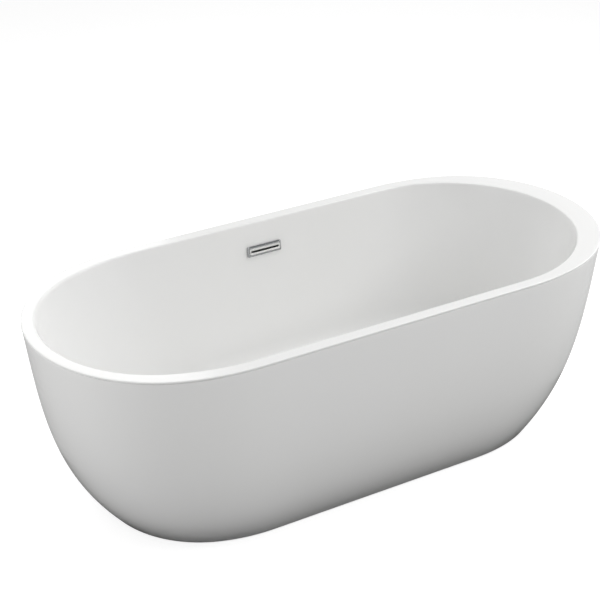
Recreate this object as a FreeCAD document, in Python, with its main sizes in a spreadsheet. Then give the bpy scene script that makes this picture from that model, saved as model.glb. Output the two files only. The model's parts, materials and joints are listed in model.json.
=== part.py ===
import FreeCAD, Part
import math
import os
import re

import Sketcher
from FreeCAD import Placement, Rotation, Vector

# Freestanding double-walled bathtub, in millimetres. The origin is on the floor under the middle of the
# rim, +X runs along the tub towards the end with the wide deck, +Y points to the wall with the overflow
# and +Z is up.

DIMENSIONS = {
    # rim outline: two straight sides and rounded ends, seen from above
    "rim_length": 1800,
    "rim_width": 800,
    "rim_height": 600,
    "rim_straight": 439,
    "rim_bulge": 223.5,
    # outline of the skirt's foot, carried down to the floor
    "base_length": 1401,
    "base_width": 608,
    "base_straight": 350,
    "base_bulge": 151,
    # the flare between them: a straight share and a share that bends near the foot
    "flare_straight": 0.381,
    "flare_power": 3.79,
    "shell_wall": 6,
    "shell_gap": 2,
    "shell_lip": 34,
    "shell_flange": 16,
    # rim deck and well
    "deck_thickness": 6,
    "deck_edge_radius": 2.5,
    "glue_thickness": 1.2,
    "glue_width": 12,
    "glue_setback": 2,
    "well_left": 865,
    "well_right": 822.5,
    "well_half_width": 365,
    "well_straight_left": 412,
    "well_straight_right": 441,
    "well_bulge_left": 265,
    "well_bulge_right": 22.5,
    "well_edge_radius": 4,
    "slope_left": 0.42,
    "slope_right": 0.25,
    "slope_side": 0.14,
    "basin_wall": 6.5,
    "floor_height": 125,
    "floor_radius": 80,
    # board and steel frame under the floor
    "pad_length": 150,
    "pad_width": 60,
    "pad_thickness": 2,
    "pad_spacing": 380,
    "pad_offset": 130,
    "board_length": 1060,
    "board_width": 400,
    "board_thickness": 12,
    "board_corner": 120,
    "board_hole_radius": 56,
    "tube_width": 40,
    "tube_height": 20,
    "tube_wall": 1.5,
    "long_rail_length": 1000,
    "long_rail_spacing": 300,
    "cross_rail_length": 470,
    "cross_rail_spacing": 860,
    "cap_lip": 2,
    "cap_depth": 10,
    "cap_play": 0.2,
    "board_screw_near": 120,
    "board_screw_far": 340,
    "board_screw_bite": 9,
    # levelling feet
    "foot_spacing": 380,
    "stud_radius": 6,
    "stud_top": 98,
    "stud_foot": 4,
    "thread_play": 0.05,
    "stud_play": 0.6,
    "collar_flats": 17,
    "collar_bottom": 14,
    "collar_height": 6,
    "nut_flats": 18,
    "weld_nut_height": 10,
    "lock_nut_height": 8,
    "foot_radius": 25,
    "foot_top_radius": 19,
    "foot_height": 12,
    # blocks and brackets that hold the skirt's foot to the frame
    "block_length": 70,
    "block_depth": 26,
    "block_height": 40,
    "block_face": 255,
    "bracket_width": 40,
    "bracket_thickness": 2.5,
    "bracket_reach": 44,
    "bracket_leg_lift": 6,
    "block_screw_offset": 12,
    "block_screw_bite": 18,
    "rail_screw_setback": 5,
    "rail_screw_bite": 10,
    "screw_radius": 2.4,
    "screw_head_radius": 4.6,
    "screw_head_height": 2.6,
    "screw_play": 0.1,
    # waste in the middle of the floor
    "seat_depth": 4,
    "seat_radius": 36,
    "boss_radius": 46,
    "waste_bore_radius": 24.4,
    "flange_radius": 35,
    "flange_thickness": 3,
    "flange_bevel": 1.5,
    "flange_flat": 6,
    "flange_slope": 9.5,
    "flange_tube_radius": 23.9,
    "flange_tube_bore": 21,
    "flange_tube_bottom": 80,
    "seal_thickness": 1,
    "under_seal_thickness": 3.5,
    "hub_radius": 11,
    "hub_bore": 7.05,
    "hub_bottom": 92,
    "hub_height": 8,
    "spoke_width": 4,
    "collar_radius": 38,
    "waste_collar_height": 8,
    "chamber_radius": 29,
    "chamber_bore": 26,
    "chamber_bottom": 50,
    "chamber_floor": 3,
    "outlet_radius": 20,
    "outlet_bore": 17,
    "outlet_bottom": 16,
    "inlet_height": 68,
    "inlet_end": 62,
    # click-clack plug
    "plug_radius": 31,
    "plug_thickness": 3.5,
    "plug_dome": 1.2,
    "plug_lift": 1,
    "plug_bevel": 1.5,
    "plug_seal_thickness": 1.5,
    "plug_seal_radius": 27.5,
    "plug_seal_bore": 10.1,
    "plug_neck_radius": 10,
    "stem_radius": 4,
    "stem_bottom": 84,
    "sleeve_radius": 7,
    "sleeve_bottom": 86,
    "sleeve_top": 104,
    "spring_room": 15,
    "spring_wire": 1.4,
    "spring_mean_radius": 5.6,
    "spring_turns": 5,
    # overflow in the far wall
    "overflow_height": 511,
    "cover_length": 116,
    "cover_height": 33,
    "cover_depth": 6.5,
    "cover_chamfer": 3,
    "panel_length": 104,
    "panel_height": 19,
    "panel_rise": 1.2,
    "slot_length": 97,
    "slot_height": 6.5,
    "window_length": 100,
    "window_height": 15,
    "window_depth": 40,
    "gasket_thickness": 1.5,
    "gasket_margin": 3,
    "housing_depth": 23.5,
    "housing_wall": 2.5,
    "cover_stud_radius": 1.9,
    "cover_stud_spacing": 80,
    "cover_stud_rise": 5.3,
    "cover_stud_length": 36.2,
    "cover_nut_flats": 7,
    "cover_nut_height": 3.2,
    "spigot_radius": 10.5,
    "spigot_bore": 8.5,
    "spigot_length": 32,
    "pipe_bore": 10.6,
    "pipe_radius": 12.6,
    "pipe_bend": 80,
    "pipe_start": 22,
    "pipe_overlap": 24,
    "clamp_play": 0.1,
    "clamp_band": 0.8,
    "clamp_width": 9,
    "clamp_box": 8,
    "clamp_drop": 26,
    "clamp_setback": 18,
}

doc = FreeCAD.newDocument("Bathtub")
sizes = doc.addObject("Spreadsheet::Sheet", "Sizes")
for row, (alias, number) in enumerate(DIMENSIONS.items(), start=1):
    sizes.set(f"A{row}", alias)
    sizes.set(f"B{row}", str(number))
    sizes.setAlias(f"B{row}", alias)
doc.recompute()

SUB_PARTS = []


def bound(text):
    """Turn a formula written with plain alias names into one that points at the sheet's cells."""
    return re.sub("[a-z_]+", lambda word: f"Sizes.{word[0]}" if word[0] in DIMENSIONS else word[0], text)


def value(text):
    """The number that a formula of aliases gives."""
    return float(sizes.evalExpression(bound(text)))


def drive(thing, path, text):
    """Bind one property of a document object to a formula of aliases."""
    thing.setExpression(path, bound(text))


def listed(thing, label):
    """Give a finished sub-part its label and put it on the list that is written out."""
    thing.Label = label
    SUB_PARTS.append(thing)
    return thing


# Heights that several pieces share, from the floor of the well downwards.
WELL_BOTTOM = "(floor_height - basin_wall)"
BOARD_TOP = f"({WELL_BOTTOM} - pad_thickness)"
BOARD_BOTTOM = f"({BOARD_TOP} - board_thickness)"
LONG_BOTTOM = f"({BOARD_BOTTOM} - tube_height)"
CROSS_BOTTOM = f"({LONG_BOTTOM} - tube_height)"
RAIL_SCREW_PLACE = "(cross_rail_length / 2 - cap_depth - rail_screw_setback)"
WELD_NUT_BOTTOM = f"({CROSS_BOTTOM} - weld_nut_height)"
SEAT_TOP = "(floor_height - seat_depth)"
BOSS_BOTTOM = f"({SEAT_TOP} - basin_wall)"
DECK_BOTTOM = "(rim_height - deck_thickness)"
SHELL_TOP = f"({DECK_BOTTOM} - glue_thickness)"


# ---------------------------------------------------------------------------------------------------
# Sketch and solid helpers
# ---------------------------------------------------------------------------------------------------

def new_sketch(name, height="0"):
    """A level sketch at a height given by a formula."""
    sketch = doc.addObject("Sketcher::SketchObject", name)
    drive(sketch, "Placement.Base.z", height)
    return sketch


def body_sketch(body, name, plane_role):
    """A sketch on one of a body's own origin planes."""
    plane = next(item for item in body.Origin.OriginFeatures if item.Role == plane_role)
    sketch = body.newObject("Sketcher::SketchObject", name)
    sketch.AttachmentSupport = (plane, [""])
    sketch.MapMode = "FlatFace"
    return sketch


def dimension(sketch, constraint, text):
    """Add one dimensional constraint and bind it to a formula."""
    index = sketch.addConstraint(constraint)
    drive(sketch, f"Constraints[{index}]", text)


def place_point(sketch, item, point, x_text, y_text):
    """Hold one point of a sketch at a place given by two formulas, measured from the sketch's origin."""
    for kind, text, flat in (("DistanceX", x_text, "Vertical"), ("DistanceY", y_text, "Horizontal")):
        amount = value(text)
        if abs(amount) < 1e-9:
            sketch.addConstraint(Sketcher.Constraint(flat, -1, 1, item, point))
        elif amount > 0:
            dimension(sketch, Sketcher.Constraint(kind, -1, 1, item, point, amount), text)
        else:
            dimension(sketch, Sketcher.Constraint(kind, item, point, -1, 1, -amount), f"-({text})")


def draw_circle(sketch, radius, x_text="0", y_text="0"):
    """A circle with its centre and radius bound."""
    centre = Vector(value(x_text), value(y_text), 0)
    circle = sketch.addGeometry(Part.Circle(centre, Vector(0, 0, 1), value(radius)))
    place_point(sketch, circle, 3, x_text, y_text)
    dimension(sketch, Sketcher.Constraint("Radius", circle, value(radius)), radius)


def draw_polygon(sketch, corners):
    """A closed outline of straight lines through corners, each given as a pair of formulas."""
    points = [Vector(value(x_text), value(y_text), 0) for x_text, y_text in corners]
    count = len(points)
    lines = [sketch.addGeometry(Part.LineSegment(points[i], points[(i + 1) % count])) for i in range(count)]
    for i in range(count):
        sketch.addConstraint(Sketcher.Constraint("Coincident", lines[i], 2, lines[(i + 1) % count], 1))
    for line, (x_text, y_text) in zip(lines, corners):
        place_point(sketch, line, 1, x_text, y_text)


def draw_rectangle(sketch, length, width):
    """A rectangle about the sketch's origin."""
    right, high = f"({length}) / 2", f"({width}) / 2"
    left, low = f"-{right}", f"-{high}"
    draw_polygon(sketch, [(left, low), (right, low), (right, high), (left, high)])


def turned(name, profile):
    """A body turned about the Z axis from a profile of (radius, height) formulas."""
    body = doc.addObject("PartDesign::Body", name)
    sketch = body_sketch(body, f"{name}_profile", "XZ_Plane")
    draw_polygon(sketch, profile)
    feature = body.newObject("PartDesign::Revolution", f"{name}_turn")
    feature.Profile = sketch
    feature.ReferenceAxis = (sketch, ["V_Axis"])
    feature.Angle = 360
    return body


def ring(name, inner, outer, low, high):
    """A plain ring or tube about the Z axis."""
    return turned(name, [(inner, low), (outer, low), (outer, high), (inner, high)])


def move(thing, x_text="0", y_text="0", z_text="0"):
    """Bind the place of an object's origin."""
    drive(thing, "Placement.Base.x", x_text)
    drive(thing, "Placement.Base.y", y_text)
    drive(thing, "Placement.Base.z", z_text)
    return thing


def box(name, x_span, y_span, z_span):
    """A box between three pairs of formulas."""
    block = doc.addObject("Part::Box", name)
    for side, (low, high) in zip(("Length", "Width", "Height"), (x_span, y_span, z_span)):
        drive(block, side, f"({high}) - ({low})")
    return move(block, x_span[0], y_span[0], z_span[0])


def about(middle, size):
    """The span of a size about its middle."""
    return (f"{middle} - ({size}) / 2", f"{middle} + ({size}) / 2")


ALONG = {"z": Rotation(), "x": Rotation(Vector(0, 1, 0), 90), "y": Rotation(Vector(1, 0, 0), -90)}


def rod(name, radius, axis, x_text, y_text, z_text, length):
    """A round bar that starts at a point and runs along +X, +Y or +Z."""
    bar = doc.addObject("Part::Cylinder", name)
    bar.Placement = Placement(Vector(), ALONG[axis])
    drive(bar, "Radius", radius)
    drive(bar, "Height", length)
    return move(bar, x_text, y_text, z_text)


def hexagon(name, flats, axis, x_text, y_text, z_text, length):
    """A hexagonal bar that starts at a point and runs along +X, +Y or +Z."""
    bar = doc.addObject("Part::Prism", name)
    bar.Polygon = 6
    bar.Placement = Placement(Vector(), ALONG[axis])
    drive(bar, "Circumradius", f"({flats}) / sqrt(3)")
    drive(bar, "Height", length)
    return move(bar, x_text, y_text, z_text)


def loft(name, sketches):
    """A solid through level sections, with straight rulings between them."""
    solid = doc.addObject("Part::Loft", name)
    solid.Sections = sketches
    solid.Solid = True
    solid.Ruled = True
    return solid


def raised(name, sketch, length):
    """A sketch extruded upwards."""
    solid = doc.addObject("Part::Extrusion", name)
    solid.Base = sketch
    solid.Dir = Vector(0, 0, 1)
    solid.Solid = True
    drive(solid, "LengthFwd", length)
    return solid


def fuse(name, pieces):
    """Several solids joined into one."""
    joined = doc.addObject("Part::MultiFuse", name)
    joined.Shapes = pieces
    joined.Refine = False
    return joined


def cut(name, base, tools):
    """A solid with one or more tools taken out of it, checked to have lost volume."""
    for k, tool in enumerate(tools):
        last = k == len(tools) - 1
        result = doc.addObject("Part::Cut", name if last else f"{name}_cut_{k}")
        result.Base = base
        result.Tool = tool
        result.Refine = False
        doc.recompute()
        if result.Shape.Volume >= base.Shape.Volume - 1e-3:
            raise RuntimeError(f"{tool.Name} takes nothing from {name}")
        base = result
    return base


def group(name, pieces):
    """Identical loose pieces that share one sub-part."""
    together = doc.addObject("Part::Compound", name)
    together.Links = pieces
    return together


def rounded(name, base, radius, picks):
    """Round the edges that a test picks."""
    doc.recompute()
    result = doc.addObject("Part::Fillet", name)
    result.Base = base
    amount = value(radius)
    result.Edges = [(i, amount, amount) for i, edge in enumerate(base.Shape.Edges, start=1) if picks(edge)]
    doc.recompute()
    return result


def bevelled(name, base, size, picks):
    """Chamfer the edges that a test picks."""
    doc.recompute()
    result = doc.addObject("Part::Chamfer", name)
    result.Base = base
    amount = value(size)
    result.Edges = [(i, amount, amount) for i, edge in enumerate(base.Shape.Edges, start=1) if picks(edge)]
    doc.recompute()
    return result


def middle_of(edge):
    """The point halfway along an edge."""
    return edge.valueAt((edge.FirstParameter + edge.LastParameter) / 2)


# ---------------------------------------------------------------------------------------------------
# Oval outlines: two straight sides, a side arc at each corner and one arc round each end
# ---------------------------------------------------------------------------------------------------

class Oval:
    """An oval that may differ at its two ends, held as formulas.

    left and right are the distances from the origin to the two ends, half_width is half the width,
    straight_* is how far each straight side reaches and bulge_* is how much longer the side arc's
    radius is than half the width.
    """

    def __init__(self, left, right, half_width, straight_left, straight_right, bulge_left, bulge_right):
        self.reach = {"left": left, "right": right}
        self.half_width = half_width
        self.straight = {"left": straight_left, "right": straight_right}
        self.bulge = {"left": bulge_left, "right": bulge_right}

    def inset(self, amount):
        """The parallel outline inside this one; a negative amount gives the one outside it."""
        return Oval(f"({self.reach['left']} - ({amount}))", f"({self.reach['right']} - ({amount}))",
                    f"({self.half_width} - ({amount}))", self.straight["left"], self.straight["right"],
                    self.bulge["left"], self.bulge["right"])

    def side_radius(self, end):
        return f"({self.half_width} + {self.bulge[end]})"

    def end_centre(self, end):
        """How far from the origin the end arc's centre lies, so that it meets both side arcs."""
        rest = f"({self.reach[end]} - {self.side_radius(end)})"
        straight = self.straight[end]
        return f"(({rest} ^ 2 - {straight} ^ 2 - {self.bulge[end]} ^ 2) / (2 * ({rest} - {straight})))"

    def end_radius(self, end):
        return f"({self.reach[end]} - {self.end_centre(end)})"

    def draw(self, sketch):
        """Draw the outline anticlockwise from the right end and bind every size."""
        up = Vector(0, 0, 1)
        half_width = value(self.half_width)
        arcs = {}
        for end, sign in (("right", 1), ("left", -1)):
            straight = value(self.straight[end])
            side = value(self.side_radius(end))
            centre = value(self.end_centre(end))
            turn = math.atan2(value(self.bulge[end]), centre - straight)
            arcs[end] = (sign, straight, side, centre, value(self.end_radius(end)), turn)

        def side_arc(end, upper):
            sign, straight, side, _, _, turn = arcs[end]
            start, finish = (turn, math.pi / 2)
            if sign < 0:
                start, finish = math.pi - finish, math.pi - start
            if not upper:
                start, finish = -finish, -start
            centre_y = (half_width - side) * (1 if upper else -1)
            circle = Part.Circle(Vector(sign * straight, centre_y, 0), up, side)
            return Part.ArcOfCircle(circle, start, finish)

        def end_arc(end):
            sign, _, _, centre, radius, turn = arcs[end]
            middle = 0 if sign > 0 else math.pi
            circle = Part.Circle(Vector(sign * centre, 0, 0), up, radius)
            return Part.ArcOfCircle(circle, middle - turn, middle + turn)

        left, right = -arcs["left"][1], arcs["right"][1]
        top = Part.LineSegment(Vector(right, half_width, 0), Vector(left, half_width, 0))
        bottom = Part.LineSegment(Vector(left, -half_width, 0), Vector(right, -half_width, 0))
        items = [end_arc("right"), side_arc("right", True), top, side_arc("left", True), end_arc("left"),
                 side_arc("left", False), bottom, side_arc("right", False)]
        first = sketch.addGeometry(items)[0]
        for k in range(8):
            following = first + (k + 1) % 8
            sketch.addConstraint(Sketcher.Constraint("Tangent", first + k, 2, following, 1))
        top_line, bottom_line = first + 2, first + 6
        place_point(sketch, top_line, 1, self.straight["right"], self.half_width)
        place_point(sketch, top_line, 2, f"-{self.straight['left']}", self.half_width)
        place_point(sketch, bottom_line, 1, f"-{self.straight['left']}", f"-{self.half_width}")
        place_point(sketch, bottom_line, 2, self.straight["right"], f"-{self.half_width}")
        for end, end_item, side_item in (("right", first, first + 1), ("left", first + 4, first + 3)):
            sketch.addConstraint(Sketcher.Constraint("PointOnObject", end_item, 3, -1))
            radius, side = self.end_radius(end), self.side_radius(end)
            dimension(sketch, Sketcher.Constraint("Radius", end_item, value(radius)), radius)
            dimension(sketch, Sketcher.Constraint("Radius", side_item, value(side)), side)


def oval_sketch(name, outline, height):
    """One level sketch of an oval outline."""
    sketch = new_sketch(name, height)
    outline.draw(sketch)
    return sketch


RIM = Oval("rim_length / 2", "rim_length / 2", "rim_width / 2", "rim_straight", "rim_straight",
           "rim_bulge", "rim_bulge")


def skirt_outline(height):
    """The skirt's outer outline at a height: it swells quickly above the floor and then more slowly."""
    share = f"(({height}) / rim_height)"
    swell = f"(flare_straight * {share} + (1 - flare_straight) * (1 - (1 - {share}) ^ flare_power))"

    def between(foot, rim):
        return f"({foot} + ({rim} - {foot}) * {swell})"

    reach = between("base_length / 2", "rim_length / 2")
    straight = between("base_straight", "rim_straight")
    bulge = between("base_bulge", "rim_bulge")
    return Oval(reach, reach, between("base_width / 2", "rim_width / 2"), straight, straight, bulge, bulge)


def well_outline(height, inset):
    """The well's outline at a height, for walls that lean outwards, less an inset for the floor's round."""
    drop = f"(rim_height - ({height}))"

    def leaning(size, slope):
        return f"({size} - {slope} * {drop} - {inset})"

    def straight(size, slope):
        return f"({size} - ({slope} - slope_side) * {drop})"

    return Oval(leaning("well_left", "slope_left"), leaning("well_right", "slope_right"),
                leaning("well_half_width", "slope_side"), straight("well_straight_left", "slope_left"),
                straight("well_straight_right", "slope_right"), "well_bulge_left", "well_bulge_right")


# ---------------------------------------------------------------------------------------------------
# Tub shells
# ---------------------------------------------------------------------------------------------------

def make_outer_shell():
    """The skirt: a flared wall with a flange turned in at the top and a lip turned in at the foot."""
    levels = 9

    def sections(side, low, high, inset):
        made = []
        for k in range(levels):
            height = f"({low} + ({high} - {low}) * {(k / (levels - 1)) ** 1.4:.4f})"
            made.append(oval_sketch(f"shell_{side}_{k}", skirt_outline(height).inset(inset), height))
        return made

    outside = loft("shell_outside", sections("outside", "shell_gap", SHELL_TOP, "0"))
    low, high = "(shell_gap + shell_wall)", f"({SHELL_TOP} - shell_wall)"
    inside = loft("shell_inside", sections("inside", low, high, "shell_wall"))
    mouth_line = skirt_outline(SHELL_TOP).inset("shell_flange")
    mouth_sketch = oval_sketch("shell_mouth_line", mouth_line, f"{SHELL_TOP} - 2 * shell_wall")
    mouth = raised("shell_mouth", mouth_sketch, "3 * shell_wall")
    foot_line = skirt_outline("shell_gap").inset("shell_lip")
    foot = raised("shell_foot", oval_sketch("shell_foot_line", foot_line, "shell_gap - shell_wall"),
                  "3 * shell_wall")
    listed(cut("outer_shell", outside, [inside, mouth, foot]), "outer_shell")


def well_sections(side, wall, top):
    """Sections of the well from its floor upwards; wall is how far outside the well's face they lie."""
    made = []
    arc_steps = 6
    for k in range(arc_steps):
        angle = 90 * k / arc_steps
        height = f"(floor_height + floor_radius * (1 - cos({angle:g} deg)))"
        inset = f"(floor_radius * (1 - sin({angle:g} deg)))"
        outline = well_outline(height, inset).inset(f"-({wall}) * sin({angle:g} deg)")
        made.append(oval_sketch(f"well_{side}_{k}", outline, f"{height} - {wall} * cos({angle:g} deg)"))
    start = "(floor_height + floor_radius)"
    wall_steps = 3
    for k in range(wall_steps + 1):
        height = f"({start} + ({top} - {start}) * {k} / {wall_steps})"
        outline = well_outline(height, "0").inset(f"-({wall})")
        made.append(oval_sketch(f"well_{side}_wall_{k}", outline, height))
    return made


def make_basin():
    """The inner shell: well, rim deck, drain seat with its boss below, and the overflow window."""
    outside = loft("well_outside", well_sections("outside", "basin_wall", DECK_BOTTOM))
    rim_line = oval_sketch("deck_line", RIM, DECK_BOTTOM)
    deck = raised("deck", rim_line, "deck_thickness")
    boss = rod("drain_boss", "boss_radius", "z", "0", "0", BOSS_BOTTOM, "basin_wall")
    inside = loft("well_inside", well_sections("inside", "0", "rim_height"))
    seat = rod("drain_seat", "seat_radius", "z", "0", "0", SEAT_TOP, "2 * seat_depth")
    bore = rod("drain_bore", "waste_bore_radius", "z", "0", "0", f"{BOSS_BOTTOM} - 1", "3 * basin_wall")
    window = box("overflow_window", about("0", "window_length"),
                 (f"{FACE_Y} - window_depth", f"{FACE_Y} + window_depth"),
                 about(WINDOW_MIDDLE, "window_height"))
    tub = cut("tub_without_rounds", fuse("tub_blank", [outside, deck, boss]), [inside, seat, bore, window])
    top = value("rim_height")

    def at_top(edge):
        return abs(edge.BoundBox.ZMin - top) < 1e-4 and abs(edge.BoundBox.ZMax - top) < 1e-4

    def inner(edge):
        gap = rim_line.Shape.distToShape(Part.Vertex(middle_of(edge)))[0]
        return gap > 2 * value("deck_thickness")

    soft = rounded("tub_with_soft_mouth", tub, "well_edge_radius", lambda edge: at_top(edge) and inner(edge))
    basin = rounded("basin", soft, "deck_edge_radius", lambda edge: at_top(edge) and not inner(edge))
    listed(basin, "basin")


def make_rim_adhesive():
    """The bead that bonds the deck to the skirt's top flange."""
    sketch = new_sketch("rim_adhesive_line", SHELL_TOP)
    RIM.inset("glue_setback").draw(sketch)
    RIM.inset("glue_setback + glue_width").draw(sketch)
    listed(raised("rim_adhesive", sketch, "glue_thickness"), "rim_adhesive")


# ---------------------------------------------------------------------------------------------------
# Board and steel frame under the floor
# ---------------------------------------------------------------------------------------------------

BOARD_SCREW_PLACES = ("-board_screw_far", "-board_screw_near",
                      "board_screw_near", "board_screw_far")
SIDES = ("-", "")


def make_screw(name, axis, x_text, y_text, z_text, grip, head_first=True):
    """A pan-head screw along an axis; grip is its shank's length, and the head comes before or after it."""
    step = {"x": (1, 0, 0), "y": (0, 1, 0), "z": (0, 0, 1)}[axis]
    start = (x_text, y_text, z_text)
    shift = "-screw_head_height" if head_first else grip
    head_start = [f"{text} + ({shift}) * {k}" for text, k in zip(start, step)]
    shank = rod(f"{name}_shank", "screw_radius", axis, *start, grip)
    head = rod(f"{name}_head", "screw_head_radius", axis, *head_start, "screw_head_height")
    return fuse(name, [shank, head])


def make_base_board():
    """The board bonded under the floor, with a hole round the waste and pilot holes for its screws."""
    body = doc.addObject("PartDesign::Body", "board_blank")
    sketch = body_sketch(body, "board_outline", "XY_Plane")
    draw_rectangle(sketch, "board_length", "board_width")
    draw_circle(sketch, "board_hole_radius")
    slab = body.newObject("PartDesign::Pad", "board_slab")
    slab.Profile = sketch
    drive(slab, "Length", "board_thickness")
    doc.recompute()
    corners = [f"Edge{i}" for i, edge in enumerate(slab.Shape.Edges, start=1)
               if edge.BoundBox.ZLength > value("board_thickness") - 0.01
               and abs(edge.CenterOfMass.x) > value("board_length / 2") - 0.01]
    soft = body.newObject("PartDesign::Fillet", "board_corners")
    soft.Base = (slab, corners)
    drive(soft, "Radius", "board_corner")
    move(body, "0", "0", BOARD_BOTTOM)
    pilots = []
    for side in SIDES:
        for k, x_text in enumerate(BOARD_SCREW_PLACES):
            pilots.append(rod(f"board_pilot_{len(pilots)}", "screw_radius", "z", x_text,
                              f"{side}long_rail_spacing / 2", BOARD_BOTTOM, "board_screw_bite"))
    listed(cut("base_board", body, [group("board_pilots", pilots)]), "base_board")


def make_board_adhesive():
    """Pads that bond the board to the underside of the basin."""
    pads = []
    for x_text in ("-pad_spacing", "0", "pad_spacing"):
        for side in SIDES:
            pads.append(box(f"board_pad_{len(pads)}", about(x_text, "pad_length"),
                            about(f"{side}pad_offset", "pad_width"), (BOARD_TOP, WELL_BOTTOM)))
    listed(group("board_adhesive", pads), "board_adhesive")


def hollow_bar(name, spans, long_axis):
    """A rectangular tube open at both ends along one axis."""
    inner = [(low, high) if k == long_axis else (f"{low} + tube_wall", f"{high} - tube_wall")
             for k, (low, high) in enumerate(spans)]
    inner[long_axis] = (f"{spans[long_axis][0]} - 1", f"{spans[long_axis][1]} + 1")
    return box(f"{name}_outside", *spans), box(f"{name}_inside", *inner)


def make_long_rails():
    """Two rails along the tub, drilled for the board's screws."""
    for k, side in enumerate(SIDES, start=1):
        name = f"long_rail_{k}"
        middle = f"{side}long_rail_spacing / 2"
        spans = [about("0", "long_rail_length"), about(middle, "tube_width"),
                 (LONG_BOTTOM, f"{LONG_BOTTOM} + tube_height")]
        outside, inside = hollow_bar(name, spans, 0)
        holes = [rod(f"{name}_hole_{n}", "screw_radius + screw_play", "z", x_text, middle,
                     f"{LONG_BOTTOM} - 1", "tube_height + 2") for n, x_text in enumerate(BOARD_SCREW_PLACES)]
        listed(cut(name, outside, [inside, group(f"{name}_holes", holes)]), name)


def make_cross_rails():
    """Two rails across the tub, drilled for the feet's studs and the brackets' screws."""
    for k, side in enumerate(SIDES, start=1):
        name = f"cross_rail_{k}"
        middle = f"{side}cross_rail_spacing / 2"
        spans = [about(middle, "tube_width"), about("0", "cross_rail_length"),
                 (CROSS_BOTTOM, f"{CROSS_BOTTOM} + tube_height")]
        outside, inside = hollow_bar(name, spans, 1)
        holes = []
        for end in SIDES:
            holes.append(rod(f"{name}_stud_hole_{len(holes)}", "stud_radius + stud_play", "z", middle,
                             f"{end}foot_spacing / 2", f"{CROSS_BOTTOM} - 1", "tube_height + 2"))
            holes.append(rod(f"{name}_screw_hole_{len(holes)}", "screw_radius", "z", middle,
                             f"{end}{RAIL_SCREW_PLACE}", f"{CROSS_BOTTOM} + tube_height / 2", "tube_height"))
        listed(cut(name, outside, [inside, group(f"{name}_holes", holes)]), name)


def make_rail_caps(name, long_axis, spacing, length, low):
    """Plastic plugs in the four open ends of a pair of rails."""
    caps = []
    for side in SIDES:
        for end in SIDES:
            middle = f"{side}{spacing} / 2"
            sign = -1 if end else 1
            edge = f"{end}{length} / 2"
            lip = sorted_span(edge, f"{edge} + {sign} * cap_lip", sign)
            plug = sorted_span(f"{edge} - {sign} * cap_depth", f"{edge} + {sign} * cap_lip / 2", sign)
            core = "tube_wall + cap_play"
            wide = about(middle, "tube_width")
            narrow = about(middle, f"tube_width - 2 * ({core})")
            high = (low, f"{low} + tube_height")
            thin = (f"{low} + {core}", f"{low} + tube_height - ({core})")
            outer = [lip, wide, high] if long_axis == 0 else [wide, lip, high]
            inner = [plug, narrow, thin] if long_axis == 0 else [narrow, plug, thin]
            number = len(caps)
            pieces = [box(f"{name}_lip_{number}", *outer), box(f"{name}_plug_{number}", *inner)]
            caps.append(fuse(f"{name}_{number}", pieces))
    listed(group(name, caps), name)


def sorted_span(first, second, sign):
    """A span from low to high, whichever way it was given."""
    return (first, second) if sign > 0 else (second, first)


def make_board_screws():
    """Screws that run up through the long rails into the board."""
    screws = []
    for side in SIDES:
        for x_text in BOARD_SCREW_PLACES:
            screws.append(make_screw(f"board_screw_{len(screws)}", "z", x_text,
                                     f"{side}long_rail_spacing / 2", LONG_BOTTOM,
                                     "tube_height + board_screw_bite"))
    listed(group("board_screws", screws), "board_screws")


# ---------------------------------------------------------------------------------------------------
# Levelling feet
# ---------------------------------------------------------------------------------------------------

FOOT_PLACES = [(f"{a}cross_rail_spacing / 2", f"{b}foot_spacing / 2") for a in SIDES for b in SIDES]


def make_nuts(name, low, height):
    """A hexagon nut on each foot's stud."""
    nuts = []
    for k, (x_text, y_text) in enumerate(FOOT_PLACES):
        body = hexagon(f"{name}_body_{k}", "nut_flats", "z", x_text, y_text, low, height)
        bore = rod(f"{name}_bore_{k}", "stud_radius + thread_play", "z", x_text, y_text, f"{low} - 1",
                   f"{height} + 2")
        nuts.append(cut(f"{name}_{k}", body, [bore]))
    listed(group(name, nuts), name)


def make_feet():
    """Four threaded studs with a spanner collar, each standing in a round pad."""
    for k, (x_text, y_text) in enumerate(FOOT_PLACES, start=1):
        shank = rod(f"foot_stud_{k}_shank", "stud_radius", "z", "0", "0", "stud_foot",
                    "stud_top - stud_foot")
        collar = hexagon(f"foot_stud_{k}_collar", "collar_flats", "z", "0", "0", "collar_bottom",
                         "collar_height")
        stud = fuse(f"foot_stud_{k}", [shank, collar])
        listed(move(stud, x_text, y_text, "0"), f"foot_stud_{k}")
        socket = "stud_radius + thread_play"
        profile = [("0", "0"), ("foot_radius", "0"), ("foot_radius", "foot_height / 3"),
                   ("foot_top_radius", "foot_height"), (socket, "foot_height"), (socket, "stud_foot"),
                   ("0", "stud_foot")]
        listed(move(turned(f"foot_pad_{k}", profile), x_text, y_text, "0"), f"foot_pad_{k}")


# ---------------------------------------------------------------------------------------------------
# Blocks and brackets that hold the skirt's foot to the frame
# ---------------------------------------------------------------------------------------------------

BLOCK_BOTTOM = "(shell_gap + shell_wall)"
BLOCK_SCREW_HEIGHT = f"({BLOCK_BOTTOM} + block_height / 2)"
BLOCK_SCREW_OFFSETS = ("-block_screw_offset", "block_screw_offset")
BRACKET_TOP = f"({LONG_BOTTOM} + bracket_thickness)"


def mirrored_span(sign, near, far):
    """A span across the tub at one side or the other."""
    return (near, far) if sign > 0 else (f"-({far})", f"-({near})")


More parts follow.
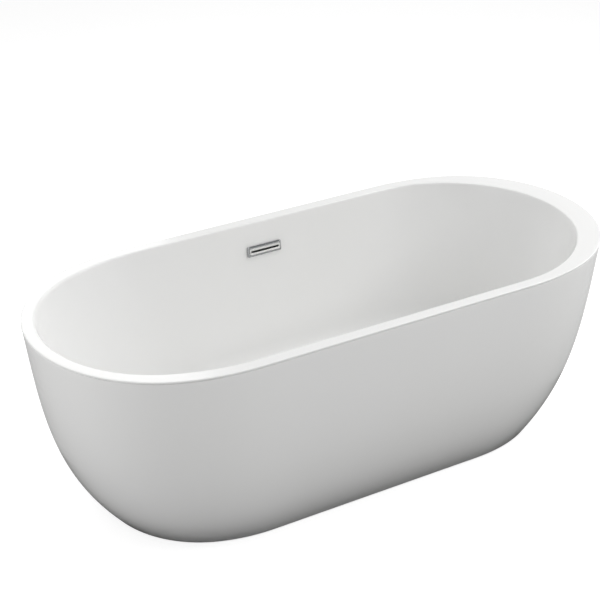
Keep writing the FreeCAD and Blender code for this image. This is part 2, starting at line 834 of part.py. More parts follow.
def make_skirt_fixings():
    """Timber blocks on the skirt's lip, angle brackets from the cross rails to them, and their screws."""
    rail_screws, block_screws = [], []
    number = 0
    for x_side in SIDES:
        for sign in (-1, 1):
            number += 1
            x_text = f"{x_side}cross_rail_spacing / 2"
            make_one_fixing(number, x_text, sign, rail_screws, block_screws)
    listed(group("bracket_rail_screws", rail_screws), "bracket_rail_screws")
    listed(group("bracket_block_screws", block_screws), "bracket_block_screws")


def make_one_fixing(number, x_text, sign, rail_screws, block_screws):
    """One block, its bracket and their screws, at one end of a cross rail."""
    y_block = mirrored_span(sign, "block_face", "block_face + block_depth")
    block = box(f"shell_block_{number}_blank", about(x_text, "block_length"), y_block,
                (BLOCK_BOTTOM, f"{BLOCK_BOTTOM} + block_height"))
    y_leg = mirrored_span(sign, "block_face - bracket_thickness", "block_face")
    y_shelf = mirrored_span(sign, "block_face - bracket_reach", "block_face")
    leg = box(f"shell_bracket_{number}_leg", about(x_text, "bracket_width"), y_leg,
              (f"{BLOCK_BOTTOM} + bracket_leg_lift", BRACKET_TOP))
    shelf = box(f"shell_bracket_{number}_shelf", about(x_text, "bracket_width"), y_shelf,
                (LONG_BOTTOM, BRACKET_TOP))
    rail_y = f"{sign} * {RAIL_SCREW_PLACE}"
    shelf_hole = rod(f"shell_bracket_{number}_shelf_hole", "screw_radius + screw_play", "z", x_text, rail_y,
                     f"{LONG_BOTTOM} - 1", "bracket_thickness + 2")
    leg_holes, pilots = [], []
    for k, offset in enumerate(BLOCK_SCREW_OFFSETS):
        place = f"{x_text} + {offset}"
        inner_face = "block_face - bracket_thickness"
        start = inner_face if sign > 0 else "-(block_face + block_screw_bite)"
        grip = "bracket_thickness + block_screw_bite"
        leg_holes.append(rod(f"bracket_{number}_leg_hole_{k}", "screw_radius + screw_play", "y", place,
                             mirrored_span(sign, f"{inner_face} - 1", "block_face + 1")[0],
                             BLOCK_SCREW_HEIGHT, "bracket_thickness + 2"))
        pilots.append(rod(f"block_{number}_pilot_{k}", "screw_radius", "y", place, start,
                          BLOCK_SCREW_HEIGHT, grip))
        block_screws.append(make_screw(f"block_screw_{number}_{k}", "y", place, start,
                                       BLOCK_SCREW_HEIGHT, grip, head_first=sign > 0))
    angle = fuse(f"shell_bracket_{number}_blank", [leg, shelf])
    holes = group(f"shell_bracket_{number}_holes", leg_holes + [shelf_hole])
    listed(cut(f"shell_bracket_{number}", angle, [holes]), f"shell_bracket_{number}")
    listed(cut(f"shell_block_{number}", block, [group(f"shell_block_{number}_pilots", pilots)]),
           f"shell_block_{number}")
    rail_screws.append(make_screw(f"rail_screw_{number}", "z", x_text, rail_y,
                                  f"{BRACKET_TOP} - rail_screw_bite", "rail_screw_bite", head_first=False))


# ---------------------------------------------------------------------------------------------------
# Waste in the middle of the floor
# ---------------------------------------------------------------------------------------------------

FLANGE_BOTTOM = f"({SEAT_TOP} + seal_thickness)"
UNDER_SEAL_BOTTOM = f"({BOSS_BOTTOM} - under_seal_thickness)"
COLLAR_BOTTOM = f"({UNDER_SEAL_BOTTOM} - waste_collar_height)"


def make_drain_flange():
    """The flange: a flat rim with a sloping throat, a tube through the floor and a hub on three spokes."""
    blank = turned("drain_flange_blank", [
        ("flange_tube_bore", "flange_tube_bottom"),
        ("flange_tube_radius", "flange_tube_bottom"),
        ("flange_tube_radius", FLANGE_BOTTOM),
        ("flange_radius", FLANGE_BOTTOM),
        ("flange_radius", f"{FLANGE_BOTTOM} + flange_thickness * 0.6"),
        ("flange_radius - flange_bevel", f"{FLANGE_BOTTOM} + flange_thickness"),
        ("flange_radius - flange_flat", f"{FLANGE_BOTTOM} + flange_thickness"),
        ("flange_radius - flange_slope", f"{FLANGE_BOTTOM} + flange_thickness * 0.45"),
        ("flange_tube_bore", f"{FLANGE_BOTTOM} - seal_thickness - 1"),
    ])
    hub = ring("drain_hub", "hub_bore", "hub_radius", "hub_bottom", "hub_bottom + hub_height")
    spokes = []
    start = "(hub_radius + hub_bore) / 2"
    half = "spoke_width / 2"
    for k in range(3):
        angle = 90 + 120 * k
        spoke = box(f"drain_spoke_{k}", (start, "(flange_tube_radius + flange_tube_bore) / 2"),
                    about("0", "spoke_width"), ("hub_bottom", "hub_bottom + hub_height"))
        spoke.Placement = Placement(Vector(), Rotation(Vector(0, 0, 1), angle))
        spokes.append(move(spoke, f"{start} * cos({angle} deg) + {half} * sin({angle} deg)",
                           f"{start} * sin({angle} deg) - {half} * cos({angle} deg)", "hub_bottom"))
    listed(fuse("drain_flange", [blank, hub] + spokes), "drain_flange")


def make_waste():
    """Seals either side of the floor and the waste body with its outlet and its overflow inlet."""
    make_drain_flange()
    listed(ring("flange_seal", "waste_bore_radius", "flange_radius - 2", SEAT_TOP, FLANGE_BOTTOM),
           "flange_seal")
    listed(ring("under_seal", "waste_bore_radius", "collar_radius", UNDER_SEAL_BOTTOM, BOSS_BOTTOM),
           "under_seal")
    thread = "flange_tube_radius + thread_play"
    floor_top = "chamber_bottom + chamber_floor"
    blank = turned("waste_body_blank", [
        ("outlet_bore", "outlet_bottom"),
        ("outlet_radius", "outlet_bottom"),
        ("outlet_radius", "chamber_bottom"),
        ("chamber_radius", "chamber_bottom"),
        ("chamber_radius", COLLAR_BOTTOM),
        ("collar_radius", COLLAR_BOTTOM),
        ("collar_radius", UNDER_SEAL_BOTTOM),
        (thread, UNDER_SEAL_BOTTOM),
        (thread, "flange_tube_bottom - 1"),
        ("chamber_bore", "flange_tube_bottom - 3"),
        ("chamber_bore", f"{floor_top} + 4"),
        ("outlet_bore", floor_top),
    ])
    inlet_start = "(chamber_bore + chamber_radius) / 2"
    inlet = rod("waste_inlet", "spigot_radius", "y", "0", inlet_start, "inlet_height",
                f"inlet_end - {inlet_start}")
    inlet_bore = rod("waste_inlet_bore", "spigot_bore", "y", "0", "chamber_bore / 2", "inlet_height",
                     "inlet_end")
    body = fuse("waste_body_with_inlet", [blank, inlet])
    listed(cut("waste_body", body, [inlet_bore]), "waste_body")


def make_plug():
    """The click-clack plug: cap, seal and stem, the sleeve that guides it and the spring under the cap."""
    cap_bottom = f"({FLANGE_BOTTOM} + flange_thickness + plug_lift)"
    neck_bottom = "(sleeve_top + spring_room)"
    cap = turned("plug_cap", [
        ("0", neck_bottom),
        ("plug_neck_radius", neck_bottom),
        ("plug_neck_radius", cap_bottom),
        ("plug_radius", cap_bottom),
        ("plug_radius", f"{cap_bottom} + plug_thickness * 0.7"),
        ("plug_radius - plug_bevel", f"{cap_bottom} + plug_thickness"),
        ("plug_radius / 2", f"{cap_bottom} + plug_thickness + plug_dome * 0.75"),
        ("0", f"{cap_bottom} + plug_thickness + plug_dome"),
    ])
    listed(cap, "plug_cap")
    seal = ring("plug_seal", "plug_seal_bore", "plug_seal_radius", f"{cap_bottom} - plug_seal_thickness",
                cap_bottom)
    listed(seal, "plug_seal")
    listed(rod("plug_stem", "stem_radius", "z", "0", "0", "stem_bottom", f"{neck_bottom} - stem_bottom"),
           "plug_stem")
    listed(ring("plug_sleeve", "stem_radius + thread_play", "sleeve_radius", "sleeve_bottom", "sleeve_top"),
           "plug_sleeve")
    coil = doc.addObject("Part::Helix", "plug_spring_path")
    coil_height = "(spring_room - 1.1 * spring_wire)"
    drive(coil, "Radius", "spring_mean_radius")
    drive(coil, "Height", coil_height)
    drive(coil, "Pitch", f"{coil_height} / spring_turns")
    wire = doc.addObject("Part::Circle", "plug_spring_wire")
    drive(wire, "Radius", "spring_wire / 2")
    wire.Placement = Placement(Vector(value("spring_mean_radius"), 0, 0), Rotation(Vector(1, 0, 0), 90))
    doc.recompute()
    spring = doc.addObject("Part::Sweep", "plug_spring")
    spring.Sections = [wire]
    spring.Spine = (coil, ["Edge1"])
    spring.Solid = True
    spring.Frenet = True
    listed(move(spring, "0", "0", "sleeve_top + 0.55 * spring_wire"), "plug_spring")


# ---------------------------------------------------------------------------------------------------
# Overflow in the far wall. Its pieces are built about the middle of the window on the well's face, with
# +Y along the fitting's own axis, and then leaned back with the wall.
# ---------------------------------------------------------------------------------------------------

LEAN = math.degrees(math.atan(value("slope_side")))
FACE_Y = "(well_half_width - slope_side * (rim_height - overflow_height))"
WINDOW_MIDDLE = "(overflow_height - slope_side * basin_wall / 2)"
HOUSING_FRONT = "(basin_wall + gasket_thickness)"
HOUSING_BACK = f"({HOUSING_FRONT} + housing_depth)"
SPIGOT_Y = f"({HOUSING_BACK} - spigot_radius - 0.5)"


def leaned(thing, label):
    """Place a finished overflow piece on the leaning wall."""
    thing.Placement = Placement(Vector(), Rotation(Vector(1, 0, 0), -LEAN))
    return listed(move(thing, "0", FACE_Y, "overflow_height"), label)


def long_slot(name, length, height, y_span):
    """A slot with round ends along X, cut through a span of Y."""
    straight = f"{length} - {height}"
    body = box(f"{name}_middle", about("0", straight), y_span, about("0", height))
    ends = [rod(f"{name}_end_{k}", f"{height} / 2", "y", f"{side}({straight}) / 2", y_span[0], "0",
                f"{y_span[1]} - ({y_span[0]})") for k, side in enumerate(SIDES)]
    return fuse(name, [body] + ends)


def make_overflow_cover():
    """The metal plate: bevelled all round, with a raised panel, one long slot and two fixing studs."""
    back = "-gasket_thickness"
    front = f"({back} - cover_depth)"
    plate = box("cover_plate", about("0", "cover_length"), (front, back), about("0", "cover_height"))
    front_y = value(front)
    plate = bevelled("cover_bevelled", plate, "cover_chamfer",
                     lambda edge: abs(edge.BoundBox.YMin - front_y) < 1e-4
                     and abs(edge.BoundBox.YMax - front_y) < 1e-4)
    panel = box("cover_panel", about("0", "panel_length"), (f"{front} - panel_rise", f"{front} + 1"),
                about("0", "panel_height"))
    studs = []
    for k, side in enumerate(SIDES):
        studs.append(rod(f"cover_stud_{k}", "cover_stud_radius", "y", f"{side}cover_stud_spacing / 2",
                         f"{back} - 1", "cover_stud_rise", "cover_stud_length + 1"))
    slot = long_slot("cover_slot", "slot_length", "slot_height", (f"{front} - 2 * panel_rise", "0"))
    face = cut("cover_slotted", fuse("cover_face", [plate, panel]), [slot])
    leaned(fuse("overflow_cover_solid", [face] + studs), "overflow_cover")


def make_gasket(name, length, height, y_low):
    """A flat seal with the window cut out of it."""
    sheet = box(f"{name}_sheet", about("0", length), (y_low, f"{y_low} + gasket_thickness"),
                about("0", height))
    hole = box(f"{name}_hole", about("0", "window_length"),
               (f"{y_low} - 1", f"{y_low} + gasket_thickness + 1"), about("0", "window_height"))
    leaned(cut(name, sheet, [hole]), name)


def make_overflow_body():
    """The housing behind the wall, open at the front, with a spigot pointing down the wall."""
    outer = box("housing_outside", about("0", "cover_length"), (HOUSING_FRONT, HOUSING_BACK),
                about("0", "cover_height"))
    spigot = rod("housing_spigot", "spigot_radius", "z", "0", SPIGOT_Y,
                 "-cover_height / 2 - spigot_length", "spigot_length + housing_wall")
    inner = box("housing_inside", about("0", "cover_length - 2 * housing_wall"),
                (f"{HOUSING_FRONT} - 1", f"{HOUSING_BACK} - housing_wall"),
                about("0", "cover_height - 2 * housing_wall"))
    bore = rod("housing_spigot_bore", "spigot_bore", "z", "0", SPIGOT_Y,
               "-cover_height / 2 - spigot_length - 1", "spigot_length + 2 * housing_wall")
    holes = [rod(f"housing_stud_hole_{k}", "cover_stud_radius + screw_play", "y",
                 f"{side}cover_stud_spacing / 2", f"{HOUSING_BACK} - 2 * housing_wall", "cover_stud_rise",
                 "3 * housing_wall") for k, side in enumerate(SIDES)]
    tools = [inner, bore, group("housing_stud_holes", holes)]
    leaned(cut("overflow_body", fuse("housing_blank", [outer, spigot]), tools), "overflow_body")


def make_overflow_nuts():
    """The nuts on the cover's studs, behind the housing."""
    nuts = []
    for k, side in enumerate(SIDES):
        place = f"{side}cover_stud_spacing / 2"
        blank = hexagon(f"overflow_nut_{k}_blank", "cover_nut_flats", "y", place, HOUSING_BACK,
                        "cover_stud_rise", "cover_nut_height")
        bore = rod(f"overflow_nut_{k}_bore", "cover_stud_radius + thread_play", "y", place,
                   f"{HOUSING_BACK} - 1", "cover_stud_rise", "cover_nut_height + 2")
        nuts.append(cut(f"overflow_nut_{k}", blank, [bore]))
    leaned(group("overflow_nuts", nuts), "overflow_nuts")


def make_overflow_pipe():
    """The pipe from the housing's spigot down behind the wall, round one bend and across to the waste."""
    lean = math.radians(LEAN)
    origin = Vector(0, value(FACE_Y), value("overflow_height"))
    along = Vector(0, math.cos(lean), -math.sin(lean))
    down = Vector(0, -math.sin(lean), -math.cos(lean))
    upper = origin + along * value(SPIGOT_Y) + down * value("pipe_start")
    height = value("inlet_height")
    corner = upper + down * ((upper.z - height) / -down.z)
    bend = value("pipe_bend")
    setback = bend * math.tan((math.pi / 2 - lean) / 2)
    arc_start = corner - down * setback
    arc_end = corner + Vector(0, -setback, 0)
    chord = (arc_start + arc_end) * 0.5
    centre = arc_end + Vector(0, 0, bend)
    halfway = centre + (chord - centre).normalize() * bend
    lower = Vector(0, value("inlet_end - pipe_overlap"), height)
    spine = doc.addObject("Part::Feature", "overflow_pipe_path")
    spine.Shape = Part.Wire([Part.makeLine(lower, arc_end),
                             Part.Arc(arc_end, halfway, arc_start).toShape(),
                             Part.makeLine(arc_start, upper)])
    tubes = []
    for name, radius in (("outside", "pipe_radius"), ("inside", "pipe_bore")):
        section = doc.addObject("Part::Circle", f"overflow_pipe_{name}_circle")
        drive(section, "Radius", radius)
        section.Placement = Placement(lower, Rotation(Vector(1, 0, 0), 90))
        tube = doc.addObject("Part::Sweep", f"overflow_pipe_{name}")
        tube.Sections = [section]
        tube.Spine = (spine, [f"Edge{k}" for k in (1, 2, 3)])
        tube.Solid = True
        tubes.append(tube)
    doc.recompute()
    listed(cut("overflow_pipe", tubes[0], [tubes[1]]), "overflow_pipe")
    area = math.pi * (value("pipe_radius") ** 2 - value("pipe_bore") ** 2)
    share = SUB_PARTS[-1].Shape.Volume / (area * spine.Shape.Length)
    print(f"overflow pipe: bend radius {bend:g}, volume over section times length {share:.4f}")


def make_clamp(name, axis, start, x_text, y_text, z_text):
    """A band clamp round the pipe: a thin ring with the housing of its screw at one side."""
    place = {"x": x_text, "y": y_text, "z": z_text}
    place[axis] = start
    band = "pipe_radius + clamp_play"
    whole = rod(f"{name}_outside", f"{band} + clamp_band", axis, place["x"], place["y"], place["z"],
                "clamp_width")
    spans = {key: about(text, "clamp_box") for key, text in place.items()}
    spans[axis] = (start, f"{start} + clamp_width")
    spans["x"] = (f"{x_text} + {band}", f"{x_text} + {band} + clamp_box")
    screw_box = box(f"{name}_box", spans["x"], spans["y"], spans["z"])
    place[axis] = f"{start} - 1"
    hole = rod(f"{name}_inside", band, axis, place["x"], place["y"], place["z"], "clamp_width + 2")
    return cut(name, fuse(f"{name}_blank", [whole, screw_box]), [hole])


def make_overflow():
    """Every piece of the overflow."""
    make_overflow_cover()
    make_gasket("overflow_front_seal", "cover_length - 2 * gasket_margin",
                "cover_height - 2 * gasket_margin", "-gasket_thickness")
    make_gasket("overflow_rear_seal", "cover_length", "cover_height", "basin_wall")
    make_overflow_body()
    make_overflow_nuts()
    make_overflow_pipe()
    leaned(make_clamp("pipe_clamp_upper", "z", "-cover_height / 2 - clamp_drop", "0", SPIGOT_Y, "0"),
           "pipe_clamp_upper")
    listed(make_clamp("pipe_clamp_lower", "y", "inlet_end - clamp_setback", "0", "0", "inlet_height"),
           "pipe_clamp_lower")


# ---------------------------------------------------------------------------------------------------
# Build, check and write
# ---------------------------------------------------------------------------------------------------

def check_everything():
    """Stop if any object failed to compute or any sub-part has no sound shape."""
    doc.recompute()
    for item in doc.Objects:
        if "Invalid" in item.State or "Error" in item.State:
            raise RuntimeError(f"{item.Name} did not compute: {item.State}")
    for item in SUB_PARTS:
        if item.Shape.isNull() or not item.Shape.isValid() or item.Shape.Volume <= 0:
            raise RuntimeError(f"{item.Label} has no sound shape")


make_outer_shell()
make_basin()
make_rim_adhesive()
make_base_board()
make_board_adhesive()
make_long_rails()
make_cross_rails()
make_rail_caps("long_rail_caps", 0, "long_rail_spacing", "long_rail_length", LONG_BOTTOM)
make_rail_caps("cross_rail_caps", 1, "cross_rail_spacing", "cross_rail_length", CROSS_BOTTOM)
make_board_screws()
make_nuts("foot_weld_nuts", WELD_NUT_BOTTOM, "weld_nut_height")
make_nuts("foot_lock_nuts", f"({WELD_NUT_BOTTOM} - lock_nut_height)", "lock_nut_height")
make_feet()
make_skirt_fixings()
make_waste()
make_plug()
make_overflow()
check_everything()

os.makedirs("parts", exist_ok=True)
for item in SUB_PARTS:
    item.Shape.exportStep(f"parts/{item.Label}.step")
print(f"{len(SUB_PARTS)} sub-parts written")
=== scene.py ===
import json
import math

import bpy
import bmesh
import numpy as np
from mathutils import Matrix, Vector


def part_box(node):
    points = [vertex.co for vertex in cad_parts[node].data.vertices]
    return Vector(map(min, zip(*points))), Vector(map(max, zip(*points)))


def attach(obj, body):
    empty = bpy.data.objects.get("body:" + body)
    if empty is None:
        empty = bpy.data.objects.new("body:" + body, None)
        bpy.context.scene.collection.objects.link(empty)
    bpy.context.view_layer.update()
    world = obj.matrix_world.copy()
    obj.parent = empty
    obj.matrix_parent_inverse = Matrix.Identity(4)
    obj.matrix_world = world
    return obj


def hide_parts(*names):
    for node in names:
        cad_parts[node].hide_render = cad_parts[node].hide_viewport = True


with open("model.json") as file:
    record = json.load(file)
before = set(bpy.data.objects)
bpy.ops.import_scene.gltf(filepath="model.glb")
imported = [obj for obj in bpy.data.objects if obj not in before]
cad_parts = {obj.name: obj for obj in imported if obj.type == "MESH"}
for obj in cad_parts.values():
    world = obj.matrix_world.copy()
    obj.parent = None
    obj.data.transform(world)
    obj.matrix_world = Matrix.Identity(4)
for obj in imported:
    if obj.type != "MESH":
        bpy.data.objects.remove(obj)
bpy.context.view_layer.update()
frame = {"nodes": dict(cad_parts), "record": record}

MM = 0.001

# The tub stands on the floor, centred on the origin, with +X towards its wide deck, +Y towards the wall
# with the overflow and +Z up. Lengths are in metres, and the outlines below repeat the CAD model's.
BASIN_LOW, BASIN_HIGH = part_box("basin")
RIM_LENGTH = BASIN_HIGH[0] - BASIN_LOW[0]
RIM_WIDTH = BASIN_HIGH[1] - BASIN_LOW[1]
RIM_HEIGHT = BASIN_HIGH[2]
SHELL_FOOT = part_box("outer_shell")[0][2]
SHELL_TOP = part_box("rim_adhesive")[0][2]
DECK_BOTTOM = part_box("rim_adhesive")[1][2]
FLOOR_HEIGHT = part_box("drain_flange")[1][2]
WELL_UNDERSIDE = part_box("board_adhesive")[1][2]
BOSS_BOTTOM = BASIN_LOW[2]

AROUND = 320            # points round an outline
LEAST_RADIUS = 0.0002   # where a turned shape's end starts, beside its axis


# ---------------------------------------------------------------------------------------------------
# Materials
# ---------------------------------------------------------------------------------------------------

class Nodes:
    """A short way to build a material's node tree."""

    def __init__(self, name):
        self.material = bpy.data.materials.new(name)
        self.material.use_nodes = True
        self.tree = self.material.node_tree
        self.shader = next(n for n in self.tree.nodes if n.type == "BSDF_PRINCIPLED")
        coordinates = self.tree.nodes.new("ShaderNodeTexCoord")
        self.position = coordinates.outputs["Object"]

    def add(self, kind, values=None, links=None, **settings):
        node = self.tree.nodes.new(kind)
        for key, setting in settings.items():
            setattr(node, key, setting)
        for key, number in (values or {}).items():
            node.inputs[key].default_value = number
        for key, source in (links or {}).items():
            self.tree.links.new(source, node.inputs[key])
        return node

    def stretched(self, scale):
        """The object's own position, scaled along each axis."""
        mapping = self.add("ShaderNodeMapping", {"Scale": scale}, {"Vector": self.position})
        return mapping.outputs["Vector"]

    def noise(self, scale, detail=3.0, roughness=0.5, vector=None):
        values = {"Scale": scale, "Detail": detail, "Roughness": roughness}
        node = self.add("ShaderNodeTexNoise", values, {"Vector": vector or self.position})
        return node.outputs["Fac"]

    def span(self, source, low, high, start=0.35, end=0.65):
        """Map a noise's middle range onto a range of values."""
        values = {"From Min": start, "From Max": end, "To Min": low, "To Max": high}
        return self.add("ShaderNodeMapRange", values, {"Value": source}).outputs["Result"]

    def colours(self, source, stops):
        """A colour ramp with (place, colour) stops."""
        node = self.add("ShaderNodeValToRGB", links={"Fac": source})
        ramp = node.color_ramp
        while len(ramp.elements) < len(stops):
            ramp.elements.new(0.5)
        for element, (place, colour) in zip(ramp.elements, stops):
            element.position = place
            element.color = (*colour, 1)
        return node.outputs["Color"]

    def bump(self, source, distance, strength, normal=None):
        links = {"Height": source}
        if normal is not None:
            links["Normal"] = normal
        node = self.add("ShaderNodeBump", {"Distance": distance, "Strength": strength}, links)
        return node.outputs["Normal"]

    def link(self, **sockets):
        for name, source in sockets.items():
            self.tree.links.new(source, self.shader.inputs[name.replace("_", " ")])

    def set(self, **values):
        for name, number in values.items():
            self.shader.inputs[name.replace("_", " ")].default_value = number


def grey(level):
    return (level, level, level)


def acrylic_material(name, colour):
    """White sanitary acrylic: clear gloss, the faint ripple of a formed sheet and fine wiping marks."""
    n = Nodes(name)
    cloud = n.noise(1.6, 3)
    r, g, b = colour
    tint = n.colours(cloud, [(0.3, colour), (0.7, (r * 0.985, g * 0.985, b * 0.978))])
    wipe = n.noise(1.0, 6, 0.6, n.stretched((6, 6, 60)))
    n.link(Base_Color=tint, Roughness=n.span(wipe, 0.16, 0.23))
    ripple = n.bump(n.noise(7.0, 2), 0.0006, 0.35)
    n.link(Normal=n.bump(n.noise(420.0, 2), 0.00002, 0.35, ripple))
    n.set(IOR=1.49, Specular_IOR_Level=0.5, Coat_Weight=0.25, Coat_Roughness=0.06)
    return n.material


def glass_fibre_material():
    """The sprayed chopped-strand backing: resin-wet strands that cross in all directions."""
    n = Nodes("glass_fibre")
    waver = n.add("ShaderNodeTexNoise", {"Scale": 22.0}, {"Vector": n.position}).outputs["Color"]
    warped = n.add("ShaderNodeMixRGB", {"Fac": 0.06}, {"Color1": n.position, "Color2": waver})
    strands = []
    for turn in ((0.3, 0.2, 0.5), (1.2, 0.9, 1.9), (2.1, 2.4, 0.8)):
        mapping = n.add("ShaderNodeMapping", {"Rotation": turn, "Scale": (24, 160, 160)},
                        {"Vector": warped.outputs["Color"]})
        strands.append(n.add("ShaderNodeTexNoise", {"Scale": 3.0, "Detail": 2.0},
                             {"Vector": mapping.outputs["Vector"]}).outputs["Fac"])
    first = n.add("ShaderNodeMath", operation="MAXIMUM", links={0: strands[0], 1: strands[1]})
    both = n.add("ShaderNodeMath", operation="MAXIMUM", links={0: first.outputs[0], 1: strands[2]})
    mat = both.outputs[0]
    n.link(Base_Color=n.colours(mat, [(0.45, (0.40, 0.38, 0.31)), (0.72, (0.66, 0.63, 0.53))]),
           Roughness=n.span(n.noise(30, 3), 0.28, 0.55), Normal=n.bump(mat, 0.0012, 0.8))
    return n.material


def chrome_material(name, light, dark, rough):
    """Chrome with hairline wiping marks and a trace of dried water."""
    n = Nodes(name)
    spots = n.noise(90.0, 4, 0.6)
    lines = n.noise(1.0, 4, 0.6, n.stretched((60, 900, 900)))
    base = n.colours(spots, [(0.3, dark), (0.7, light)])
    n.link(Base_Color=base, Roughness=n.span(lines, *rough), Normal=n.bump(lines, 0.00001, 0.3))
    n.set(Metallic=1.0)
    return n.material


def metal_material(name, light, dark, rough, grain, bump):
    """Plated or turned metal with patches in its plating and fine marks along its grain."""
    n = Nodes(name)
    patches = n.noise(60.0, 4, 0.65)
    marks = n.noise(1.0, 5, 0.6, n.stretched(grain))
    n.link(Base_Color=n.colours(patches, [(0.3, dark), (0.7, light)]),
           Roughness=n.span(marks, *rough), Normal=n.bump(marks, bump, 0.6))
    n.set(Metallic=1.0)
    return n.material


def powder_coat_material():
    """Satin powder coat with its fine orange peel and a few rubbed spots."""
    n = Nodes("powder_coat")
    patches = n.noise(9.0, 5, 0.7)
    stops = [(0.35, (0.055, 0.058, 0.062)), (0.65, (0.085, 0.088, 0.092))]
    n.link(Base_Color=n.colours(patches, stops), Roughness=n.span(n.noise(35.0, 4), 0.38, 0.55),
           Normal=n.bump(n.noise(650.0, 2), 0.00012, 0.6))
    return n.material


def plastic_material(name, light, dark, rough):
    """Moulded plastic with a spark-eroded grain and slight flow marks."""
    n = Nodes(name)
    flow = n.noise(14.0, 4, 0.6)
    n.link(Base_Color=n.colours(flow, [(0.35, dark), (0.65, light)]),
           Roughness=n.span(n.noise(50.0, 4), *rough), Normal=n.bump(n.noise(900.0, 2), 0.00006, 0.5))
    return n.material


def rubber_material():
    """Black rubber with a dusty bloom."""
    n = Nodes("seal_rubber")
    bloom = n.noise(70.0, 5, 0.7)
    n.link(Base_Color=n.colours(bloom, [(0.35, grey(0.018)), (0.7, grey(0.045))]),
           Roughness=n.span(bloom, 0.6, 0.85), Normal=n.bump(n.noise(700.0, 2), 0.00005, 0.5))
    return n.material


def timber_material(name, dark, light, grain):
    """Sawn timber: long grain with soft growth bands."""
    n = Nodes(name)
    vector = n.stretched(grain)
    values = {"Scale": 9.0, "Distortion": 5.0, "Detail": 3.0, "Detail Scale": 1.5}
    bands = n.add("ShaderNodeTexWave", values, {"Vector": vector}, wave_type="BANDS",
                  bands_direction="Y").outputs["Fac"]
    fibres = n.noise(60.0, 5, 0.7, vector)
    softer = n.add("ShaderNodeMath", {1: 0.5}, {0: bands}, operation="MULTIPLY").outputs[0]
    both = n.add("ShaderNodeMath", links={0: softer, 1: fibres}, operation="ADD").outputs[0]
    n.link(Base_Color=n.colours(both, [(0.35, dark), (0.95, light)]),
           Roughness=n.span(fibres, 0.55, 0.8), Normal=n.bump(both, 0.0003, 0.5))
    return n.material


def chipboard_material():
    """Resin-sealed chipboard: pressed flakes under a thin glossy coat."""
    n = Nodes("sealed_chipboard")
    flakes = n.add("ShaderNodeTexVoronoi", {"Scale": 150.0, "Randomness": 1.0},
                   {"Vector": n.stretched((1, 2.2, 1))})
    shade = n.add("ShaderNodeSeparateColor", links={"Color": flakes.outputs["Color"]}).outputs[0]
    n.link(Base_Color=n.colours(shade, [(0.1, (0.30, 0.20, 0.11)), (0.9, (0.56, 0.42, 0.25))]),
           Roughness=n.span(n.noise(20.0, 4), 0.3, 0.6),
           Normal=n.bump(flakes.outputs["Distance"], 0.0004, 0.5))
    return n.material


def adhesive_material():
    """Grey structural adhesive, slightly lumpy where it squeezed out."""
    n = Nodes("adhesive")
    lumps = n.noise(60.0, 4, 0.6)
    n.link(Base_Color=n.colours(lumps, [(0.35, (0.30, 0.30, 0.29)), (0.65, (0.40, 0.40, 0.385))]),
           Roughness=n.span(lumps, 0.45, 0.65), Normal=n.bump(lumps, 0.0004, 0.5))
    return n.material


MATERIALS = {
    "acrylic": acrylic_material("white_acrylic", (0.86, 0.86, 0.855)),
    "adhesive": adhesive_material(),
    "board": chipboard_material(),
    "timber": timber_material("sawn_pine", (0.36, 0.23, 0.11), (0.62, 0.45, 0.26), (3, 30, 30)),
    "powder_coat": powder_coat_material(),
    "zinc_steel": metal_material("zinc_plate", (0.66, 0.67, 0.66), (0.50, 0.51, 0.50), (0.24, 0.42),
                                 (120, 120, 700), 0.00003),
    "black_plastic": plastic_material("black_nylon", grey(0.030), grey(0.018), (0.42, 0.6)),
    "white_plastic": plastic_material("white_abs", (0.70, 0.70, 0.67), (0.63, 0.63, 0.60),
                                      (0.28, 0.42)),
    "seal_rubber": rubber_material(),
    "chrome": chrome_material("polished_chrome", (0.68, 0.69, 0.70), (0.60, 0.61, 0.62),
                              (0.07, 0.16)),
    "brass": metal_material("turned_brass", (0.78, 0.60, 0.30), (0.60, 0.44, 0.20), (0.18, 0.34),
                            (90, 90, 2500), 0.00003),
    "clamp_steel": metal_material("rolled_stainless", (0.72, 0.72, 0.71), (0.60, 0.60, 0.60),
                                  (0.18, 0.34), (1500, 90, 90), 0.00002),
}
GLASS_FIBRE = glass_fibre_material()
# The plate's frame is polished chrome and its panel satin chrome, as their roughness shows; beyond
# that, the frame's base colour is darkened as a painted dark reflection and the panel's is lightened as
# a painted bright reflection.
FRAME_CHROME_PAINTED_DARK_REFLECTION = chrome_material("frame_chrome_painted_dark_reflection", (0.43, 0.44, 0.45), (0.37, 0.38, 0.39), (0.10, 0.18))
SATIN_CHROME_PAINTED_BRIGHT_REFLECTION = chrome_material("satin_chrome_painted_bright_reflection", (0.93, 0.93, 0.92), (0.87, 0.87, 0.86), (0.30, 0.42))


# ---------------------------------------------------------------------------------------------------
# Pieces and meshes
# ---------------------------------------------------------------------------------------------------

NODE_SLOT = {row["node"]: row["material_slot"] for row in frame["record"]["subparts"]}
NODE_BODY = {node: body for body, nodes in frame["record"]["behaviour"]["bodies"].items()
             for node in nodes}


def finish_cad_nodes():
    """Give every CAD node that stays in view its slot's procedural material."""
    for name, item in frame["nodes"].items():
        item.data.materials.clear()
        item.data.materials.append(MATERIALS[NODE_SLOT[name]])


def middle(node, axis):
    """The middle of a CAD node's box along an axis."""
    low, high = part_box(node)
    return (low[axis] + high[axis]) / 2


def solid_mesh(name, verts, faces):
    """A closed mesh with its normals facing outwards."""
    mesh = bpy.data.meshes.new(name)
    mesh.from_pydata([tuple(v) for v in verts], [], [tuple(f) for f in faces])
    work = bmesh.new()
    work.from_mesh(mesh)
    bmesh.ops.recalc_face_normals(work, faces=work.faces)
    work.to_mesh(mesh)
    work.free()
    return mesh


def piece(name, verts, faces, node, sharp=35):
    """A new closed piece, made from its points and faces, that stands for a CAD node."""
    show(name, solid_mesh(name, verts, faces), node, sharp)


